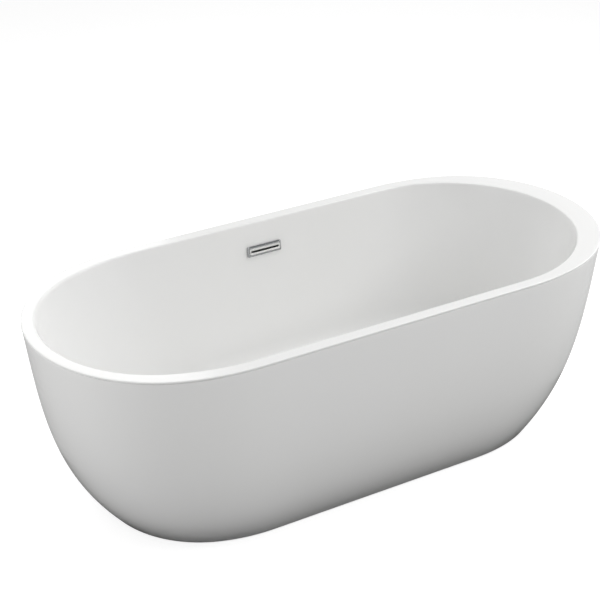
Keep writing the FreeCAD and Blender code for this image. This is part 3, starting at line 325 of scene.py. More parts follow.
def show(name, mesh, node, sharp=35):
    """Put a finished mesh in a CAD node's place: on its body and, if bare, with its slot's material.

    Edges that turn by more than sharp degrees stay sharp.
    """
    obj = bpy.data.objects.new(name, mesh)
    bpy.context.scene.collection.objects.link(obj)
    if not mesh.materials:
        mesh.materials.append(MATERIALS[NODE_SLOT[node]])
    for polygon in mesh.polygons:
        polygon.use_smooth = True
    mesh.set_sharp_from_angle(angle=math.radians(sharp))
    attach(obj, NODE_BODY[node])
    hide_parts(node)


def band_faces(rings, around, closed=False):
    """Quads between each ring of points and the next; closed joins the last ring to the first."""
    faces = []
    for row in range(rings if closed else rings - 1):
        low, high = row * around, (row + 1) % rings * around
        for k in range(around):
            following = (k + 1) % around
            faces.append((low + k, low + following, high + following, high + k))
    return faces


def less(mesh, tool):
    """A mesh with another one cut out of it."""
    target = bpy.data.objects.new("cut_target", mesh)
    cutter = bpy.data.objects.new("cut_tool", tool)
    for obj in (target, cutter):
        bpy.context.scene.collection.objects.link(obj)
    modifier = target.modifiers.new("cut", "BOOLEAN")
    modifier.object = cutter
    modifier.operation = "DIFFERENCE"
    modifier.solver = "EXACT"
    bpy.context.view_layer.update()
    evaluated = target.evaluated_get(bpy.context.evaluated_depsgraph_get())
    result = bpy.data.meshes.new_from_object(evaluated)
    for obj in (target, cutter):
        bpy.data.objects.remove(obj)
    return result


def block(low, high):
    """Points and faces of a box."""
    verts = [(x, y, z) for z in (low[2], high[2])
             for x, y in ((low[0], low[1]), (high[0], low[1]), (high[0], high[1]), (low[0], high[1]))]
    return np.array(verts), [(3, 2, 1, 0), (4, 5, 6, 7), (0, 1, 5, 4), (1, 2, 6, 5), (2, 3, 7, 6),
                             (3, 0, 4, 7)]


TURNED_STEPS = 48       # points round a small turned shape


def stacked(rows, steps=TURNED_STEPS, closed=False):
    """A surface of rings about Z, each row a (radius, height) whose numbers may vary round the ring.

    An open stack is closed by a point in the middle of its first and last rows.
    """
    angle = np.linspace(0, 2 * math.pi, steps, endpoint=False)
    rings = [np.column_stack([radius * np.cos(angle), radius * np.sin(angle),
                              np.broadcast_to(height, steps)]) for radius, height in rows]
    verts = np.concatenate(rings)
    faces = band_faces(len(rings), steps, closed)
    if not closed:
        for first, row in ((0, rings[0]), (len(verts) - steps, rings[-1])):
            pole = len(verts)
            verts = np.vstack([verts, [0, 0, row[:, 2].mean()]])
            faces += [(first + k, first + (k + 1) % steps, pole) for k in range(steps)]
    return verts, faces


def eased(profile, radius):
    """A profile with each corner between its two ends rounded."""
    points = [np.array(p, float) for p in profile]
    out = [tuple(points[0])]
    for last, point, following in zip(points, points[1:], points[2:]):
        before, after = last - point, following - point
        reach = min(radius, 0.45 * np.hypot(*before), 0.45 * np.hypot(*after))
        start = point + before / np.hypot(*before) * reach
        end = point + after / np.hypot(*after) * reach
        for t in np.linspace(0, 1, 5):
            out.append(tuple((1 - t) ** 2 * start + 2 * t * (1 - t) * point + t ** 2 * end))
    return out + [tuple(points[-1])]


def hexagonal(flats):
    """The radius of a hexagon at each step round it."""
    angle = np.linspace(0, 2 * math.pi, TURNED_STEPS, endpoint=False)
    return flats / 2 / np.cos((angle + math.pi / 6) % (math.pi / 3) - math.pi / 6)


def hexagon_rows(flats, low, high):
    """Rows up the outside of a hexagon with its corners turned off at both ends."""
    shape = hexagonal(flats)
    climbs = [0.06 * flats * k / 3 for k in range(4)]
    turned = [(np.minimum(shape, 0.48 * flats + climb * 1.8), climb) for climb in climbs]
    return ([(radius, low + climb) for radius, climb in turned]
            + [(radius, high - climb) for radius, climb in turned[::-1]])


def thread_rows(radius, pitch, low, high, steps=TURNED_STEPS):
    """Rows up a screw thread, six to a turn, that runs out at both ends."""
    depth = 0.55 * pitch
    count = max(int((high - low) / pitch * 6), 2)
    share = np.arange(steps) / steps
    rows = []
    for k in range(count + 1):
        height = low + (high - low) * k / count
        wave = np.abs(2 * ((height / pitch - share) % 1) - 1)
        ease = min(1.0, (height - low) / pitch, (high - height) / pitch)
        rows.append((radius - depth * (1 - ease) * 0.6 - depth * ease * wave, height))
    return rows


def as_shape(mesh):
    """A mesh's points and faces."""
    return np.array([v.co for v in mesh.vertices]), [tuple(p.vertices) for p in mesh.polygons]


def placed(shape, matrix):
    """Points and faces moved by a matrix."""
    verts, faces = shape
    turn = np.array(matrix.to_3x3())
    return verts @ turn.T + np.array(matrix.translation), faces


def capped(rings):
    """Points and faces through a stack of rings, with one flat face over each end."""
    around = len(rings[0])
    last = (len(rings) - 1) * around
    ends = [tuple(range(first, first + around)) for first in (0, last)]
    return np.concatenate(rings), band_faces(len(rings), around) + ends


def together(shapes):
    """Several shapes as one set of points and faces."""
    verts, faces, count = [], [], 0
    for points, polygons in shapes:
        verts.append(points)
        faces += [tuple(index + count for index in polygon) for polygon in polygons]
        count += len(points)
    return np.concatenate(verts), faces


# ---------------------------------------------------------------------------------------------------
# Oval outlines
# ---------------------------------------------------------------------------------------------------

def oval(left, right, half_width, straight_left, straight_right, bulge_left, bulge_right):
    """Points spaced evenly round an oval of straights, side arcs and end arcs, from its right end."""
    def quarter(reach, straight, bulge):
        radius = half_width + bulge
        rest = reach - radius
        centre = (rest ** 2 - straight ** 2 - bulge ** 2) / (2 * (rest - straight))
        end_radius = reach - centre
        turn = math.atan2(bulge, centre - straight)
        end = np.linspace(0, turn, 200)
        side = np.linspace(turn, math.pi / 2, 200)[1:]
        x = np.concatenate([centre + end_radius * np.cos(end), straight + radius * np.cos(side)])
        y = np.concatenate([end_radius * np.sin(end), radius * np.sin(side) - bulge])
        return x, y

    right_x, right_y = quarter(right, straight_right, bulge_right)
    left_x, left_y = quarter(left, straight_left, bulge_left)
    x = np.concatenate([right_x, -left_x[::-1]])
    y = np.concatenate([right_y, left_y[::-1]])
    travelled = np.concatenate([[0], np.cumsum(np.hypot(np.diff(x), np.diff(y)))])
    wanted = np.linspace(0, travelled[-1], AROUND // 2 + 1)
    x, y = np.interp(wanted, travelled, x), np.interp(wanted, travelled, y)
    x = np.concatenate([x, x[-2:0:-1]])
    y = np.concatenate([y, -y[-2:0:-1]])
    outline = soften(np.stack([x, y], 1))
    outline[:, 1] *= half_width / np.abs(outline[:, 1]).max()
    return outline


def soften(points):
    """Blend the curvature where arcs meet, without pulling the outline in."""
    reach = 3.0
    shifts = np.arange(-12, 13)
    weights = np.exp(-0.5 * (shifts / reach) ** 2)
    weights /= weights.sum()

    def blur(values):
        return sum(weight * np.roll(values, shift, axis=0) for weight, shift in zip(weights, shifts))

    return blur(2 * points - blur(points))


def at_height(outline, height):
    """A level ring of points with an outline's shape."""
    return np.column_stack([outline, np.full(len(outline), height)])


# The outlines of the rim, the skirt's foot and the well's mouth, and how far the well's walls lean
# inwards for each metre down.
RIM = dict(left=RIM_LENGTH / 2, right=RIM_LENGTH / 2, half_width=RIM_WIDTH / 2, straight_left=0.439,
           straight_right=0.439, bulge_left=0.2235, bulge_right=0.2235)
FOOT = dict(left=0.7005, right=0.7005, half_width=0.304, straight_left=0.350, straight_right=0.350,
            bulge_left=0.151, bulge_right=0.151)
WELL = dict(left=0.865, right=0.8225, half_width=0.365, straight_left=0.412, straight_right=0.441,
            bulge_left=0.265, bulge_right=0.0225)
SLOPE = dict(left=0.42, right=0.25, half_width=0.14)
FLARE_STRAIGHT, FLARE_POWER = 0.381, 3.79
FLOOR_RADIUS = 0.080    # the round between the well's floor and walls
BASIN_WALL = 0.0065
SHELL_WALL = 0.006
MOUTH_RADIUS = 0.004    # the deck's inner edge
DECK_EDGE = 0.0025      # the deck's outer edge


def inset(sizes, amount):
    """The sizes of the parallel outline inside another."""
    return {key: number - amount if key in ("left", "right", "half_width") else number
            for key, number in sizes.items()}


def skirt_sizes(height):
    """The skirt's outline at a height above the floor."""
    share = height / RIM_HEIGHT
    swell = FLARE_STRAIGHT * share + (1 - FLARE_STRAIGHT) * (1 - (1 - share) ** FLARE_POWER)
    return {key: FOOT[key] + (RIM[key] - FOOT[key]) * swell for key in RIM}


def well_sizes(height):
    """The well's leaning walls' outline at a height, carried straight down past the floor's round."""
    drop = RIM_HEIGHT - height
    sizes = dict(WELL)
    for key, slope in SLOPE.items():
        sizes[key] -= slope * drop
    for end in ("left", "right"):
        sizes[f"straight_{end}"] -= (SLOPE[end] - SLOPE["half_width"]) * drop
    return sizes


def level_ring(sizes, amount, height):
    """A level ring that lies an amount inside the outline with these sizes."""
    return at_height(oval(**inset(sizes, amount)), height)


def edge_round(sizes, height, radius, start, stop, steps):
    """Rings round a small quarter edge whose centre line lies radius inside the outline."""
    rings = []
    for k in range(steps + 1):
        angle = math.radians(start + (stop - start) * k / steps)
        amount = radius * (1 - math.cos(angle))
        rings.append(level_ring(sizes, amount, height + radius * math.sin(angle)))
    return rings


def make_outer_shell():
    """The skirt as one thin closed skin: lip, flared wall, top flange and the inside again."""
    foot_round, top_round = 0.0018, 0.0012
    lip, flange = 0.034, 0.016
    foot, top = skirt_sizes(SHELL_FOOT), skirt_sizes(SHELL_TOP)
    foot_centre, top_centre = SHELL_FOOT + foot_round, SHELL_TOP - top_round
    low, high = SHELL_FOOT + 1.6 * foot_round, SHELL_TOP - 1.6 * top_round
    under_flange = SHELL_TOP - SHELL_WALL
    inner_height = SHELL_TOP - SHELL_FOOT - 2 * SHELL_WALL

    def wall_ring(height, depth):
        return level_ring(skirt_sizes(height), depth, height)

    rings = [level_ring(foot, lip, SHELL_FOOT + SHELL_WALL), level_ring(foot, lip, SHELL_FOOT),
             level_ring(foot, lip * 0.5, SHELL_FOOT)]
    rings += edge_round(skirt_sizes(foot_centre), foot_centre, foot_round, -80, 0, 4)
    rings += [wall_ring(low + (high - low) * (k / 44) ** 1.25, 0) for k in range(45)]
    rings += edge_round(skirt_sizes(top_centre), top_centre, top_round, 10, 90, 3)
    rings += [level_ring(top, flange, SHELL_TOP), level_ring(top, flange, under_flange)]
    outside_rows = len(rings) - 1
    rings += [wall_ring(under_flange - inner_height * (k / 20) ** 0.85, SHELL_WALL) for k in range(21)]
    mesh = solid_mesh("skirt", np.concatenate(rings), band_faces(len(rings), AROUND, closed=True))
    back_with_fibre(mesh, lambda row: row >= outside_rows or row < 2)
    show("skirt", mesh, "outer_shell")


def make_basin():
    """The inner shell as one closed skin: underside, deck, mouth, well, floor and drain seat."""
    seat_radius, bore_radius, boss_radius = 0.036, 0.0244, 0.046
    seat_height = FLOOR_HEIGHT - 0.004
    boss_edge, seat_edge, seat_corner, deck_round = 0.001, 0.0012, 0.0006, 0.0008

    def circle(radius, height):
        angle = np.linspace(0, 2 * math.pi, AROUND, endpoint=False)
        return at_height(np.column_stack([radius * np.cos(angle), radius * np.sin(angle)]), height)

    def floor_ring(angle, wall):
        """A ring on the round between floor and wall, from 0 degrees on the floor to 90 on the wall."""
        turn = math.radians(angle)
        level = FLOOR_HEIGHT + FLOOR_RADIUS * (1 - math.cos(turn))
        amount = FLOOR_RADIUS * (1 - math.sin(turn)) - wall * math.sin(turn)
        return level_ring(well_sizes(level), amount, level - wall * math.cos(turn))

    floor_edge = floor_ring(0, 0)

    def flat_ring(share, radius, height):
        """A ring part of the way from a circle round the drain to the floor's edge."""
        ring = circle(radius, height)
        ring[:, :2] += (floor_edge[:, :2] - ring[:, :2]) * share
        return ring

    rings = [circle(bore_radius, BOSS_BOTTOM), circle(boss_radius - boss_edge, BOSS_BOTTOM),
             circle(boss_radius, BOSS_BOTTOM + boss_edge), circle(boss_radius, WELL_UNDERSIDE)]
    rings += [flat_ring(share, boss_radius, WELL_UNDERSIDE) for share in (0.25, 0.6, 0.97)]
    rings += [floor_ring(angle, BASIN_WALL) for angle in range(5, 90, 8)]
    wall_foot, under_top = FLOOR_HEIGHT + FLOOR_RADIUS, DECK_BOTTOM - 0.006
    for k in range(13):
        level = wall_foot + (under_top - wall_foot) * k / 12
        rings.append(level_ring(well_sizes(level), -BASIN_WALL, level))
    under = well_sizes(DECK_BOTTOM)
    rings += [level_ring(under, -BASIN_WALL - 0.001, DECK_BOTTOM - 0.002),
              level_ring(under, -BASIN_WALL - 0.004, DECK_BOTTOM)]
    underside_rows = len(rings)
    rings += [level_ring(RIM, 0.0011, DECK_BOTTOM)]
    rings += edge_round(RIM, DECK_BOTTOM + deck_round, deck_round, -90, 0, 2)[1:]
    rings += edge_round(RIM, RIM_HEIGHT - DECK_EDGE, DECK_EDGE, 0, 90, 8)

    outer_edge = oval(**inset(RIM, DECK_EDGE))
    inner_edge = oval(**inset(WELL, -MOUTH_RADIUS))
    rings += [at_height(outer_edge + (inner_edge - outer_edge) * share, RIM_HEIGHT)
              for share in (0.12, 0.3, 0.5, 0.7, 0.88)]
    for k in range(11):
        angle = math.radians(90 - 90 * k / 10)
        level = RIM_HEIGHT - MOUTH_RADIUS * (1 - math.sin(angle))
        lean = well_sizes(level)
        sizes = {key: WELL[key] - (WELL[key] - lean[key]) * (1 - math.sin(angle)) for key in WELL}
        rings.append(level_ring(sizes, -MOUTH_RADIUS * (1 - math.cos(angle)), level))
    wall_top = RIM_HEIGHT - MOUTH_RADIUS - 0.008
    for k in range(26):
        level = wall_top + (wall_foot - wall_top) * (k / 26)
        rings.append(level_ring(well_sizes(level), 0, level))
    rings += [floor_ring(angle, 0) for angle in range(90, 0, -6)]
    rings += [floor_edge]
    rings += [flat_ring(share, seat_radius + 0.002, FLOOR_HEIGHT)
              for share in (0.85, 0.6, 0.35, 0.15, 0.04)]
    rings += [circle(seat_radius + seat_edge, FLOOR_HEIGHT),
              circle(seat_radius, FLOOR_HEIGHT - seat_edge),
              circle(seat_radius, seat_height + seat_corner),
              circle(seat_radius - seat_corner, seat_height), circle(bore_radius, seat_height)]
    blank = solid_mesh("tub_basin", np.concatenate(rings), band_faces(len(rings), AROUND, closed=True))
    back_with_fibre(blank, lambda row: row < underside_rows)
    show("tub_basin", less(blank, solid_mesh("window", *window_block())), "basin")


def back_with_fibre(mesh, hidden):
    """Give a shell white acrylic on its face and glass fibre on the rows that a test calls hidden."""
    mesh.materials.append(MATERIALS["acrylic"])
    mesh.materials.append(GLASS_FIBRE)
    for polygon in mesh.polygons:
        polygon.material_index = int(hidden(polygon.index // AROUND))


def window_block():
    """The block that cuts the overflow's window through the basin's wall, inside the front seal."""
    low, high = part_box("overflow_front_seal")
    height = middle("overflow_front_seal", 2) - SLOPE["half_width"] * BASIN_WALL / 2
    half_length, half_height, spare = 0.050, 0.0075, 0.030
    return block((-half_length, low[1] - spare, height - half_height),
                 (half_length, high[1] + spare, height + half_height))


# ---------------------------------------------------------------------------------------------------
# Overflow
# ---------------------------------------------------------------------------------------------------

LEAN = math.atan(SLOPE["half_width"])
OVERFLOW_HEIGHT = 0.511
FACE_Y = WELL["half_width"] - SLOPE["half_width"] * (RIM_HEIGHT - OVERFLOW_HEIGHT)
ON_WALL = Matrix.Translation((0, FACE_Y, OVERFLOW_HEIGHT)) @ Matrix.Rotation(-LEAN, 4, "X")
TO_BACK = Matrix.Rotation(-math.pi / 2, 4, "X")     # turns +Z to +Y
STUD_X, STUD_Z, STUD_RADIUS, STUD_END = 0.040, 0.0053, 0.0019, 0.0347
HOUSING_BACK = 0.0315
SPIGOT_Y = 0.0205       # the middle of the housing's outlet, behind the wall's face
PIPE_OUTER, PIPE_INNER = 0.0126, 0.0106
INLET_HEIGHT = 0.068    # the middle of the waste body's inlet


def on_wall(x, y, z):
    """The place of a shape that points out of the wall's back, measured from the plate's middle."""
    return ON_WALL @ (Matrix.Translation((x, y, z)) @ TO_BACK)


def rounded_rectangle(length, height, corner, depth, steps=96):
    """A ring round a rectangle that faces -Y, evenly spaced from the middle of its right side."""
    half_x, half_z = length / 2 - corner, height / 2 - corner
    turn = np.linspace(0, math.pi / 2, 9)
    corner_x, corner_z = half_x + corner * np.cos(turn), half_z + corner * np.sin(turn)
    x = np.concatenate([corner_x, -corner_x[::-1], -corner_x, corner_x[::-1]])
    z = np.concatenate([corner_z, corner_z[::-1], -corner_z, -corner_z[::-1]])
    x, z = np.append(np.insert(x, 0, length / 2), length / 2), np.append(np.insert(z, 0, 0), 0)
    travelled = np.concatenate([[0], np.cumsum(np.hypot(np.diff(x), np.diff(z)))])
    wanted = np.linspace(0, travelled[-1], steps, endpoint=False)
    return np.column_stack([np.interp(wanted, travelled, x), np.full(steps, depth),
                            np.interp(wanted, travelled, z)])


def make_overflow_cover():
    """The plate: bevelled edge, flat frame, fine groove, raised panel, its slot, and two studs."""
    # Each ring's length, height, corner radius and depth, in millimetres.
    rings = [(116, 33, 1.6, -1.5), (116, 33, 1.6, -4.7), (115.6, 32.6, 1.5, -5.3),
             (110.8, 27.8, 1.3, -7.7), (110.0, 27.0, 1.2, -8.0), (106.4, 21.4, 0.9, -8.0),
             (105.8, 20.8, 0.9, -7.7), (105.5, 20.5, 0.8, -7.0), (104.2, 19.2, 0.8, -7.0),
             (104.0, 19.0, 0.8, -8.7), (103.4, 18.4, 0.7, -9.2), (98.4, 7.9, 3.9, -9.2),
             (97.4, 6.9, 3.4, -9.0), (97.0, 6.5, 3.24, -8.6), (97.0, 6.5, 3.24, -1.5)]
    panel_rows = range(8, 12)
    outlines = [rounded_rectangle(*(number * MM for number in ring)) for ring in rings]
    around = len(outlines[0])
    plate = np.concatenate(outlines), band_faces(len(outlines), around, closed=True)
    pitch, buried, steps = 0.0007, 0.002, 20
    stud = stacked(thread_rows(STUD_RADIUS, pitch, 0, STUD_END + buried, steps), steps)
    studs = [placed(stud, on_wall(side * STUD_X, -buried, STUD_Z)) for side in (-1, 1)]
    mesh = solid_mesh("overflow_plate", *together([placed(plate, ON_WALL)] + studs))
    # The frame's rows take the chrome darkened as a painted dark reflection, and the panel's rows take
    # the chrome lightened as a painted bright reflection.
    mesh.materials.append(FRAME_CHROME_PAINTED_DARK_REFLECTION)
    mesh.materials.append(SATIN_CHROME_PAINTED_BRIGHT_REFLECTION)
    for polygon in mesh.polygons:
        polygon.material_index = int(polygon.index // around in panel_rows)
    show("overflow_plate", mesh, "overflow_cover", sharp=28)


def make_overflow_nuts():
    """Hexagon nuts on the plate's studs."""
    flats, height, lead_in = 0.007, 0.0032, 0.0003
    bore, mouth = STUD_RADIUS + 0.00005, STUD_RADIUS + lead_in
    rows = hexagon_rows(flats, 0, height)
    rows += [(mouth, height), (bore, height - lead_in), (bore, lead_in), (mouth, 0)]
    nut = stacked(rows, closed=True)
    shapes = [placed(nut, on_wall(side * STUD_X, HOUSING_BACK, STUD_Z)) for side in (-1, 1)]
    piece("stud_nuts", *together(shapes), "overflow_nuts")


def make_overflow_pipe():
    """The ribbed pipe, with a plain cuff at each end under its clamp."""
    bend, start, low_y = 0.080, 0.022, 0.038
    height = INLET_HEIGHT
    upper = ON_WALL @ Vector((0, SPIGOT_Y, -start))
    down = Vector((0, -math.sin(LEAN), -math.cos(LEAN)))
    corner = upper + down * ((upper.z - height) / -down.z)
    setback = bend * math.tan((math.pi / 2 - LEAN) / 2)
    centre = Vector((0, corner.y - setback, height + bend))
    straight = (corner - upper).length - setback
    arc = bend * (math.pi / 2 - LEAN)
    flat = corner.y - setback - low_y
    total = straight + arc + flat
    cuff, pitch, rib = 0.024, 0.0045, 0.0009
    count = int(total / pitch * 6)

    def place_at(distance):
        """A point on the centre line and the direction of travel there."""
        if distance < straight:
            return upper + down * distance, down
        if distance < straight + arc:
            angle = LEAN + (distance - straight) / bend
            direction = Vector((0, -math.sin(angle), -math.cos(angle)))
            return centre + Vector((0, math.cos(angle), -math.sin(angle))) * bend, direction
        return Vector((0, low_y + total - distance, height)), Vector((0, -1, 0))

    steps = 32
    turn = np.linspace(0, 2 * math.pi, steps, endpoint=False)
    side = Vector((1, 0, 0))

    def ring(distance, radius):
        point, direction = place_at(distance)
        across = np.outer(np.cos(turn), side) + np.outer(np.sin(turn), direction.cross(side))
        return np.array(point) + radius * across

    rings = []
    for k in range(count + 1):
        distance = total * k / count
        inside = min(distance, total - distance) - cuff
        wave = 0.5 - 0.5 * math.cos(2 * math.pi * inside / pitch) if inside > 0 else 0
        rings.append(ring(distance, PIPE_OUTER - rib * wave))
    rings += [ring(total * (1 - k / 40), PIPE_INNER) for k in range(41)]
    faces = band_faces(len(rings), steps, closed=True)
    piece("ribbed_pipe", np.concatenate(rings), faces, "overflow_pipe")


def make_clamp(name, node, to_place):
    """A worm-drive clamp: a band with pressed slots, its screw's housing and its slotted head."""
    width, inner, band, edge = 0.009, PIPE_OUTER + 0.0001, 0.0008, 0.0016
    slot_count, slot_depth, steps = 40, 0.00022, 120
    outer, shoulder = inner + band, inner + band * 0.7
    share = np.arange(steps) / steps
    pressed = (np.sin(2 * math.pi * slot_count * share) > 0) & (share > 0.1) & (share < 0.9)
    slots = slot_depth * pressed
    rows = [(inner, 0), (shoulder, 0), (outer, 0.0002), (outer, edge), (outer - slots, edge + 0.0003),
            (outer - slots, width - edge - 0.0003), (outer, width - edge), (outer, width - 0.0002),
            (shoulder, width), (inner, width)]
    shapes = [stacked(rows, steps, closed=True)]
    housing_x, housing_end = inner + band * 0.5 + 0.0038, 0.0040
    spans = ((-housing_end, 0.9), (-0.0036, 1.0), (0.0036, 1.0), (housing_end, 0.9))
    housing = [rounded_rectangle(0.0072, 0.0078, 0.0012, y) * [swell, 1, swell] for y, swell in spans]
    shapes.append(placed(capped(housing), Matrix.Translation((housing_x, 0, width / 2))))
    head = solid_mesh("clamp_screw", *stacked(hexagon_rows(0.0062, 0, 0.0036)))
    slot = solid_mesh("clamp_slot", *block((-0.005, -0.0005, 0.0022), (0.005, 0.0005, 0.005)))
    turn = Matrix.Translation((housing_x, housing_end, width / 2)) @ TO_BACK
    shapes.append(placed(as_shape(less(head, slot)), turn))
    piece(name, *placed(together(shapes), to_place), node, sharp=30)


# ---------------------------------------------------------------------------------------------------
# Waste, feet and fixings
# ---------------------------------------------------------------------------------------------------

def make_plug_cap():
    """The plug's domed cap with a soft edge, and the neck below it."""
    low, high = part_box("plug_cap")
    radius, top, bottom = high[0], high[2], low[2]
    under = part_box("plug_seal")[1][2]
    neck, crown = 0.010, 0.0016
    edge = top - crown
    side = eased([(neck, bottom), (neck, under), (radius, under), (radius, edge)], 0.0006)
    dome = [(radius * math.cos(t), edge + crown * math.sin(t) ** 0.9)
            for t in np.linspace(0, math.pi / 2, 26)[1:-1]]
    rows = [(LEAST_RADIUS, bottom)] + side + dome + [(0.0003, top)]
    piece("plug_dome", *stacked(rows, 96), "plug_cap", sharp=50)


FEET = range(1, 5)


def foot_place(k):
    """The point on the floor where a foot stands."""
    pad = f"foot_pad_{k}"
    return Matrix.Translation((middle(pad, 0), middle(pad, 1), 0))


def make_feet():
    """Levelling feet: a ribbed pad with a soft edge, and a threaded stud with a spanner collar."""
    socket, seat, rib, rebate = 0.0061, 0.004, 0.0006, 0.0008
    core, collar_low, collar_high, relief = 0.0052, 0.014, 0.020, 0.003
    flats, thread_radius, pitch = 0.017, 0.006, 0.00175
    for k in FEET:
        low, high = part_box(f"foot_pad_{k}")
        radius, height = (high[0] - low[0]) / 2, high[2]
        sole = [(radius * 0.42, rib), (radius * 0.46, 0.0), (radius * 0.62, 0.0), (radius * 0.66, rib),
                (radius * 0.78, rib), (radius * 0.82, 0.0), (radius, 0.0)]
        top = [(radius, height / 3), (0.0215, height * 0.62), (0.019, height), (0.0085, height),
               (0.0080, height - rebate), (socket, height - rebate), (socket, seat)]
        outline = eased([(LEAST_RADIUS, rib)] + sole + top + [(LEAST_RADIUS, seat)], 0.0009)
        shape = placed(stacked(outline, 72), foot_place(k))
        piece(f"pad_{k}", *shape, f"foot_pad_{k}", sharp=40)

        low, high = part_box(f"foot_stud_{k}")
        rows = [(0.0045, low[2]), (core, low[2] + 0.0008), (core, collar_low)]
        rows += hexagon_rows(flats, collar_low, collar_high)
        rows += [(core, collar_high), (core, collar_high + relief)]
        rows += thread_rows(thread_radius, pitch, collar_high + relief, high[2])
        piece(f"stud_{k}", *placed(stacked(rows), foot_place(k)), f"foot_stud_{k}", sharp=40)


def make_foot_nuts():
    """The weld nuts under the cross rails and the lock nuts below them."""
    flats, bore, lead_in = 0.018, 0.00605, 0.0008
    for name, node in (("weld_nuts", "foot_weld_nuts"), ("lock_nuts", "foot_lock_nuts")):
        low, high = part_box(node)
        rows = hexagon_rows(flats, low[2], high[2])
        rows += [(bore + lead_in, high[2]), (bore, high[2] - lead_in), (bore, low[2] + lead_in),
                 (bore + lead_in, low[2])]
        nut = stacked(rows, closed=True)
        piece(name, *together([placed(nut, foot_place(k)) for k in FEET]), node, sharp=25)


SCREW_HEAD = 0.0046     # radius


def screw_shape(grip):
    """A cross-recessed pan-head screw along +Z, with its head's underside at the origin."""
    shank, head, thick, pitch, steps = 0.0024, SCREW_HEAD, 0.0026, 0.0016, 24
    rows = [(head * 0.35, -thick), (head * 0.72, -thick * 0.97), (head * 0.9, -thick * 0.80),
            (head * 0.99, -thick * 0.45), (head, -thick * 0.2), (head * 0.97, 0), (shank * 0.85, 0)]
    rows += thread_rows(shank, pitch, 0.0006, grip - 0.0025, steps)
    rows += [(shank * 0.35, grip - 0.0006), (0.0001, grip)]
    mesh = solid_mesh("screw", *stacked(rows, steps))
    depth, arm, width = 0.0017, 0.0026, 0.00055
    for spans in (((-arm, -width), (arm, width)), ((-width, -arm), (width, arm))):
        low, high = (*spans[0], -thick - 0.001), (*spans[1], -thick + depth)
        mesh = less(mesh, solid_mesh("recess", *block(low, high)))
    return as_shape(mesh)


def screw_set(name, node, grip, places):
    """A set of equal screws as one piece."""
    shape = screw_shape(grip)
    piece(name, *together([placed(shape, place) for place in places]), node, sharp=30)


def make_screws():
    """The board's, brackets' and blocks' screws, each set one piece."""
    under_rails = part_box("long_rail_1")[0][2]
    rail_y = middle("long_rail_2", 1)
    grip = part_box("board_screws")[1][2] - under_rails
    places = [Matrix.Translation((x, y, under_rails)) for x in (-0.34, -0.12, 0.12, 0.34)
              for y in (-rail_y, rail_y)]
    screw_set("screws_into_board", "board_screws", grip, places)

    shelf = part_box("shell_bracket_1")[1][2]
    low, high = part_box("bracket_rail_screws")
    x, y = high[0] - SCREW_HEAD, high[1] - SCREW_HEAD
    downwards = Matrix.Rotation(math.pi, 4, "X")
    places = [Matrix.Translation((i * x, j * y, shelf)) @ downwards for i in (-1, 1) for j in (-1, 1)]
    screw_set("screws_into_rails", "bracket_rail_screws", shelf - low[2], places)

    leg_thickness, half_apart = 0.0025, 0.012
    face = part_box("shell_block_2")[0][1] - leg_thickness
    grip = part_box("bracket_block_screws")[1][1] - face
    height, rail_x = middle("bracket_block_screws", 2), middle("cross_rail_2", 0)
    places = []
    for i in (-1, 1):
        for offset in (-half_apart, half_apart):
            for j in (-1, 1):
                outwards = Matrix.Rotation(-j * math.pi / 2, 4, "X")
                places.append(Matrix.Translation((i * rail_x + offset, j * face, height)) @ outwards)
    screw_set("screws_into_blocks", "bracket_block_screws", grip, places)


def make_adhesive_pads():
    """The pads of adhesive between the basin and its board, squeezed out round their edges."""
    low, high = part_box("board_adhesive")
    length, width, corner, steps = 0.150, 0.060, 0.022, 96
    x_place, y_place = high[0] - length / 2, high[1] - width / 2
    levels = ((low[2], 0.985), (middle("board_adhesive", 2), 1.0), (high[2], 0.985))
    outline = rounded_rectangle(length * 0.97, width * 0.93, corner, 0, steps)[:, [0, 2]]
    rng = np.random.default_rng(7)
    shapes = []
    for x in (-x_place, 0, x_place):
        for y in (-y_place, y_place):
            wobble = 1 - np.abs(soften_ring(rng.normal(0, 0.010, steps)))
            shapes.append(capped([at_height(outline * (swell * wobble)[:, None] + [x, y], height)
                                  for height, swell in levels]))
    piece("adhesive_pads", *together(shapes), "board_adhesive", sharp=60)


def soften_ring(values):
    """Smooth a ring of random numbers and bring them back to about their first size."""
    for _ in range(6):
        values = (np.roll(values, 1) + values + np.roll(values, -1)) / 3
    return values * 4


# ---------------------------------------------------------------------------------------------------
# Camera, light and floor
# ---------------------------------------------------------------------------------------------------

def make_camera():
    """A long lens in front of the tub, to the left of its middle and above it."""
    azimuth, elevation = math.radians(-31.164), math.radians(27.687)
    distance, slide_right, slide_up = 4.9352, -0.0717, 0.4348
    back = Vector((math.sin(azimuth) * math.cos(elevation), -math.cos(azimuth) * math.cos(elevation),
                   math.sin(elevation)))
    right = (-back).cross(Vector((0, 0, 1))).normalized()
    up = right.cross(-back)
    data = bpy.data.cameras.new("camera")
    data.sensor_width = 36
    data.lens = 97.78
    data.clip_end = 60
    camera = bpy.data.objects.new("camera", data)
    bpy.context.scene.collection.objects.link(camera)
    camera.location = back * distance + right * slide_right + up * slide_up
    camera.rotation_euler = back.to_track_quat("Z", "Y").to_euler()
    bpy.context.scene.camera = camera


def make_floor():
    """A wide, matt studio floor that shows near white, but neither lights nor shades the tub."""
    half = 14
    mesh = bpy.data.meshes.new("floor")
    mesh.from_pydata([(-half, -half, 0), (half, -half, 0), (half, half, 0), (-half, half, 0)], [],
                     [(0, 1, 2, 3)])
    floor = bpy.data.objects.new("floor", mesh)
    bpy.context.scene.collection.objects.link(floor)
    n = Nodes("studio_floor")
    n.link(Base_Color=n.colours(n.noise(0.6, 3), [(0.3, grey(0.40)), (0.7, grey(0.41))]),
           Roughness=n.span(n.noise(8.0, 3), 0.8, 0.9))
    n.set(Emission_Color=(1, 1, 1, 1), Emission_Strength=0.78)
    n.material.cycles.emission_sampling = "NONE"
    mesh.materials.append(n.material)
    floor.visible_diffuse = False
    floor.visible_glossy = False
    floor.visible_shadow = False


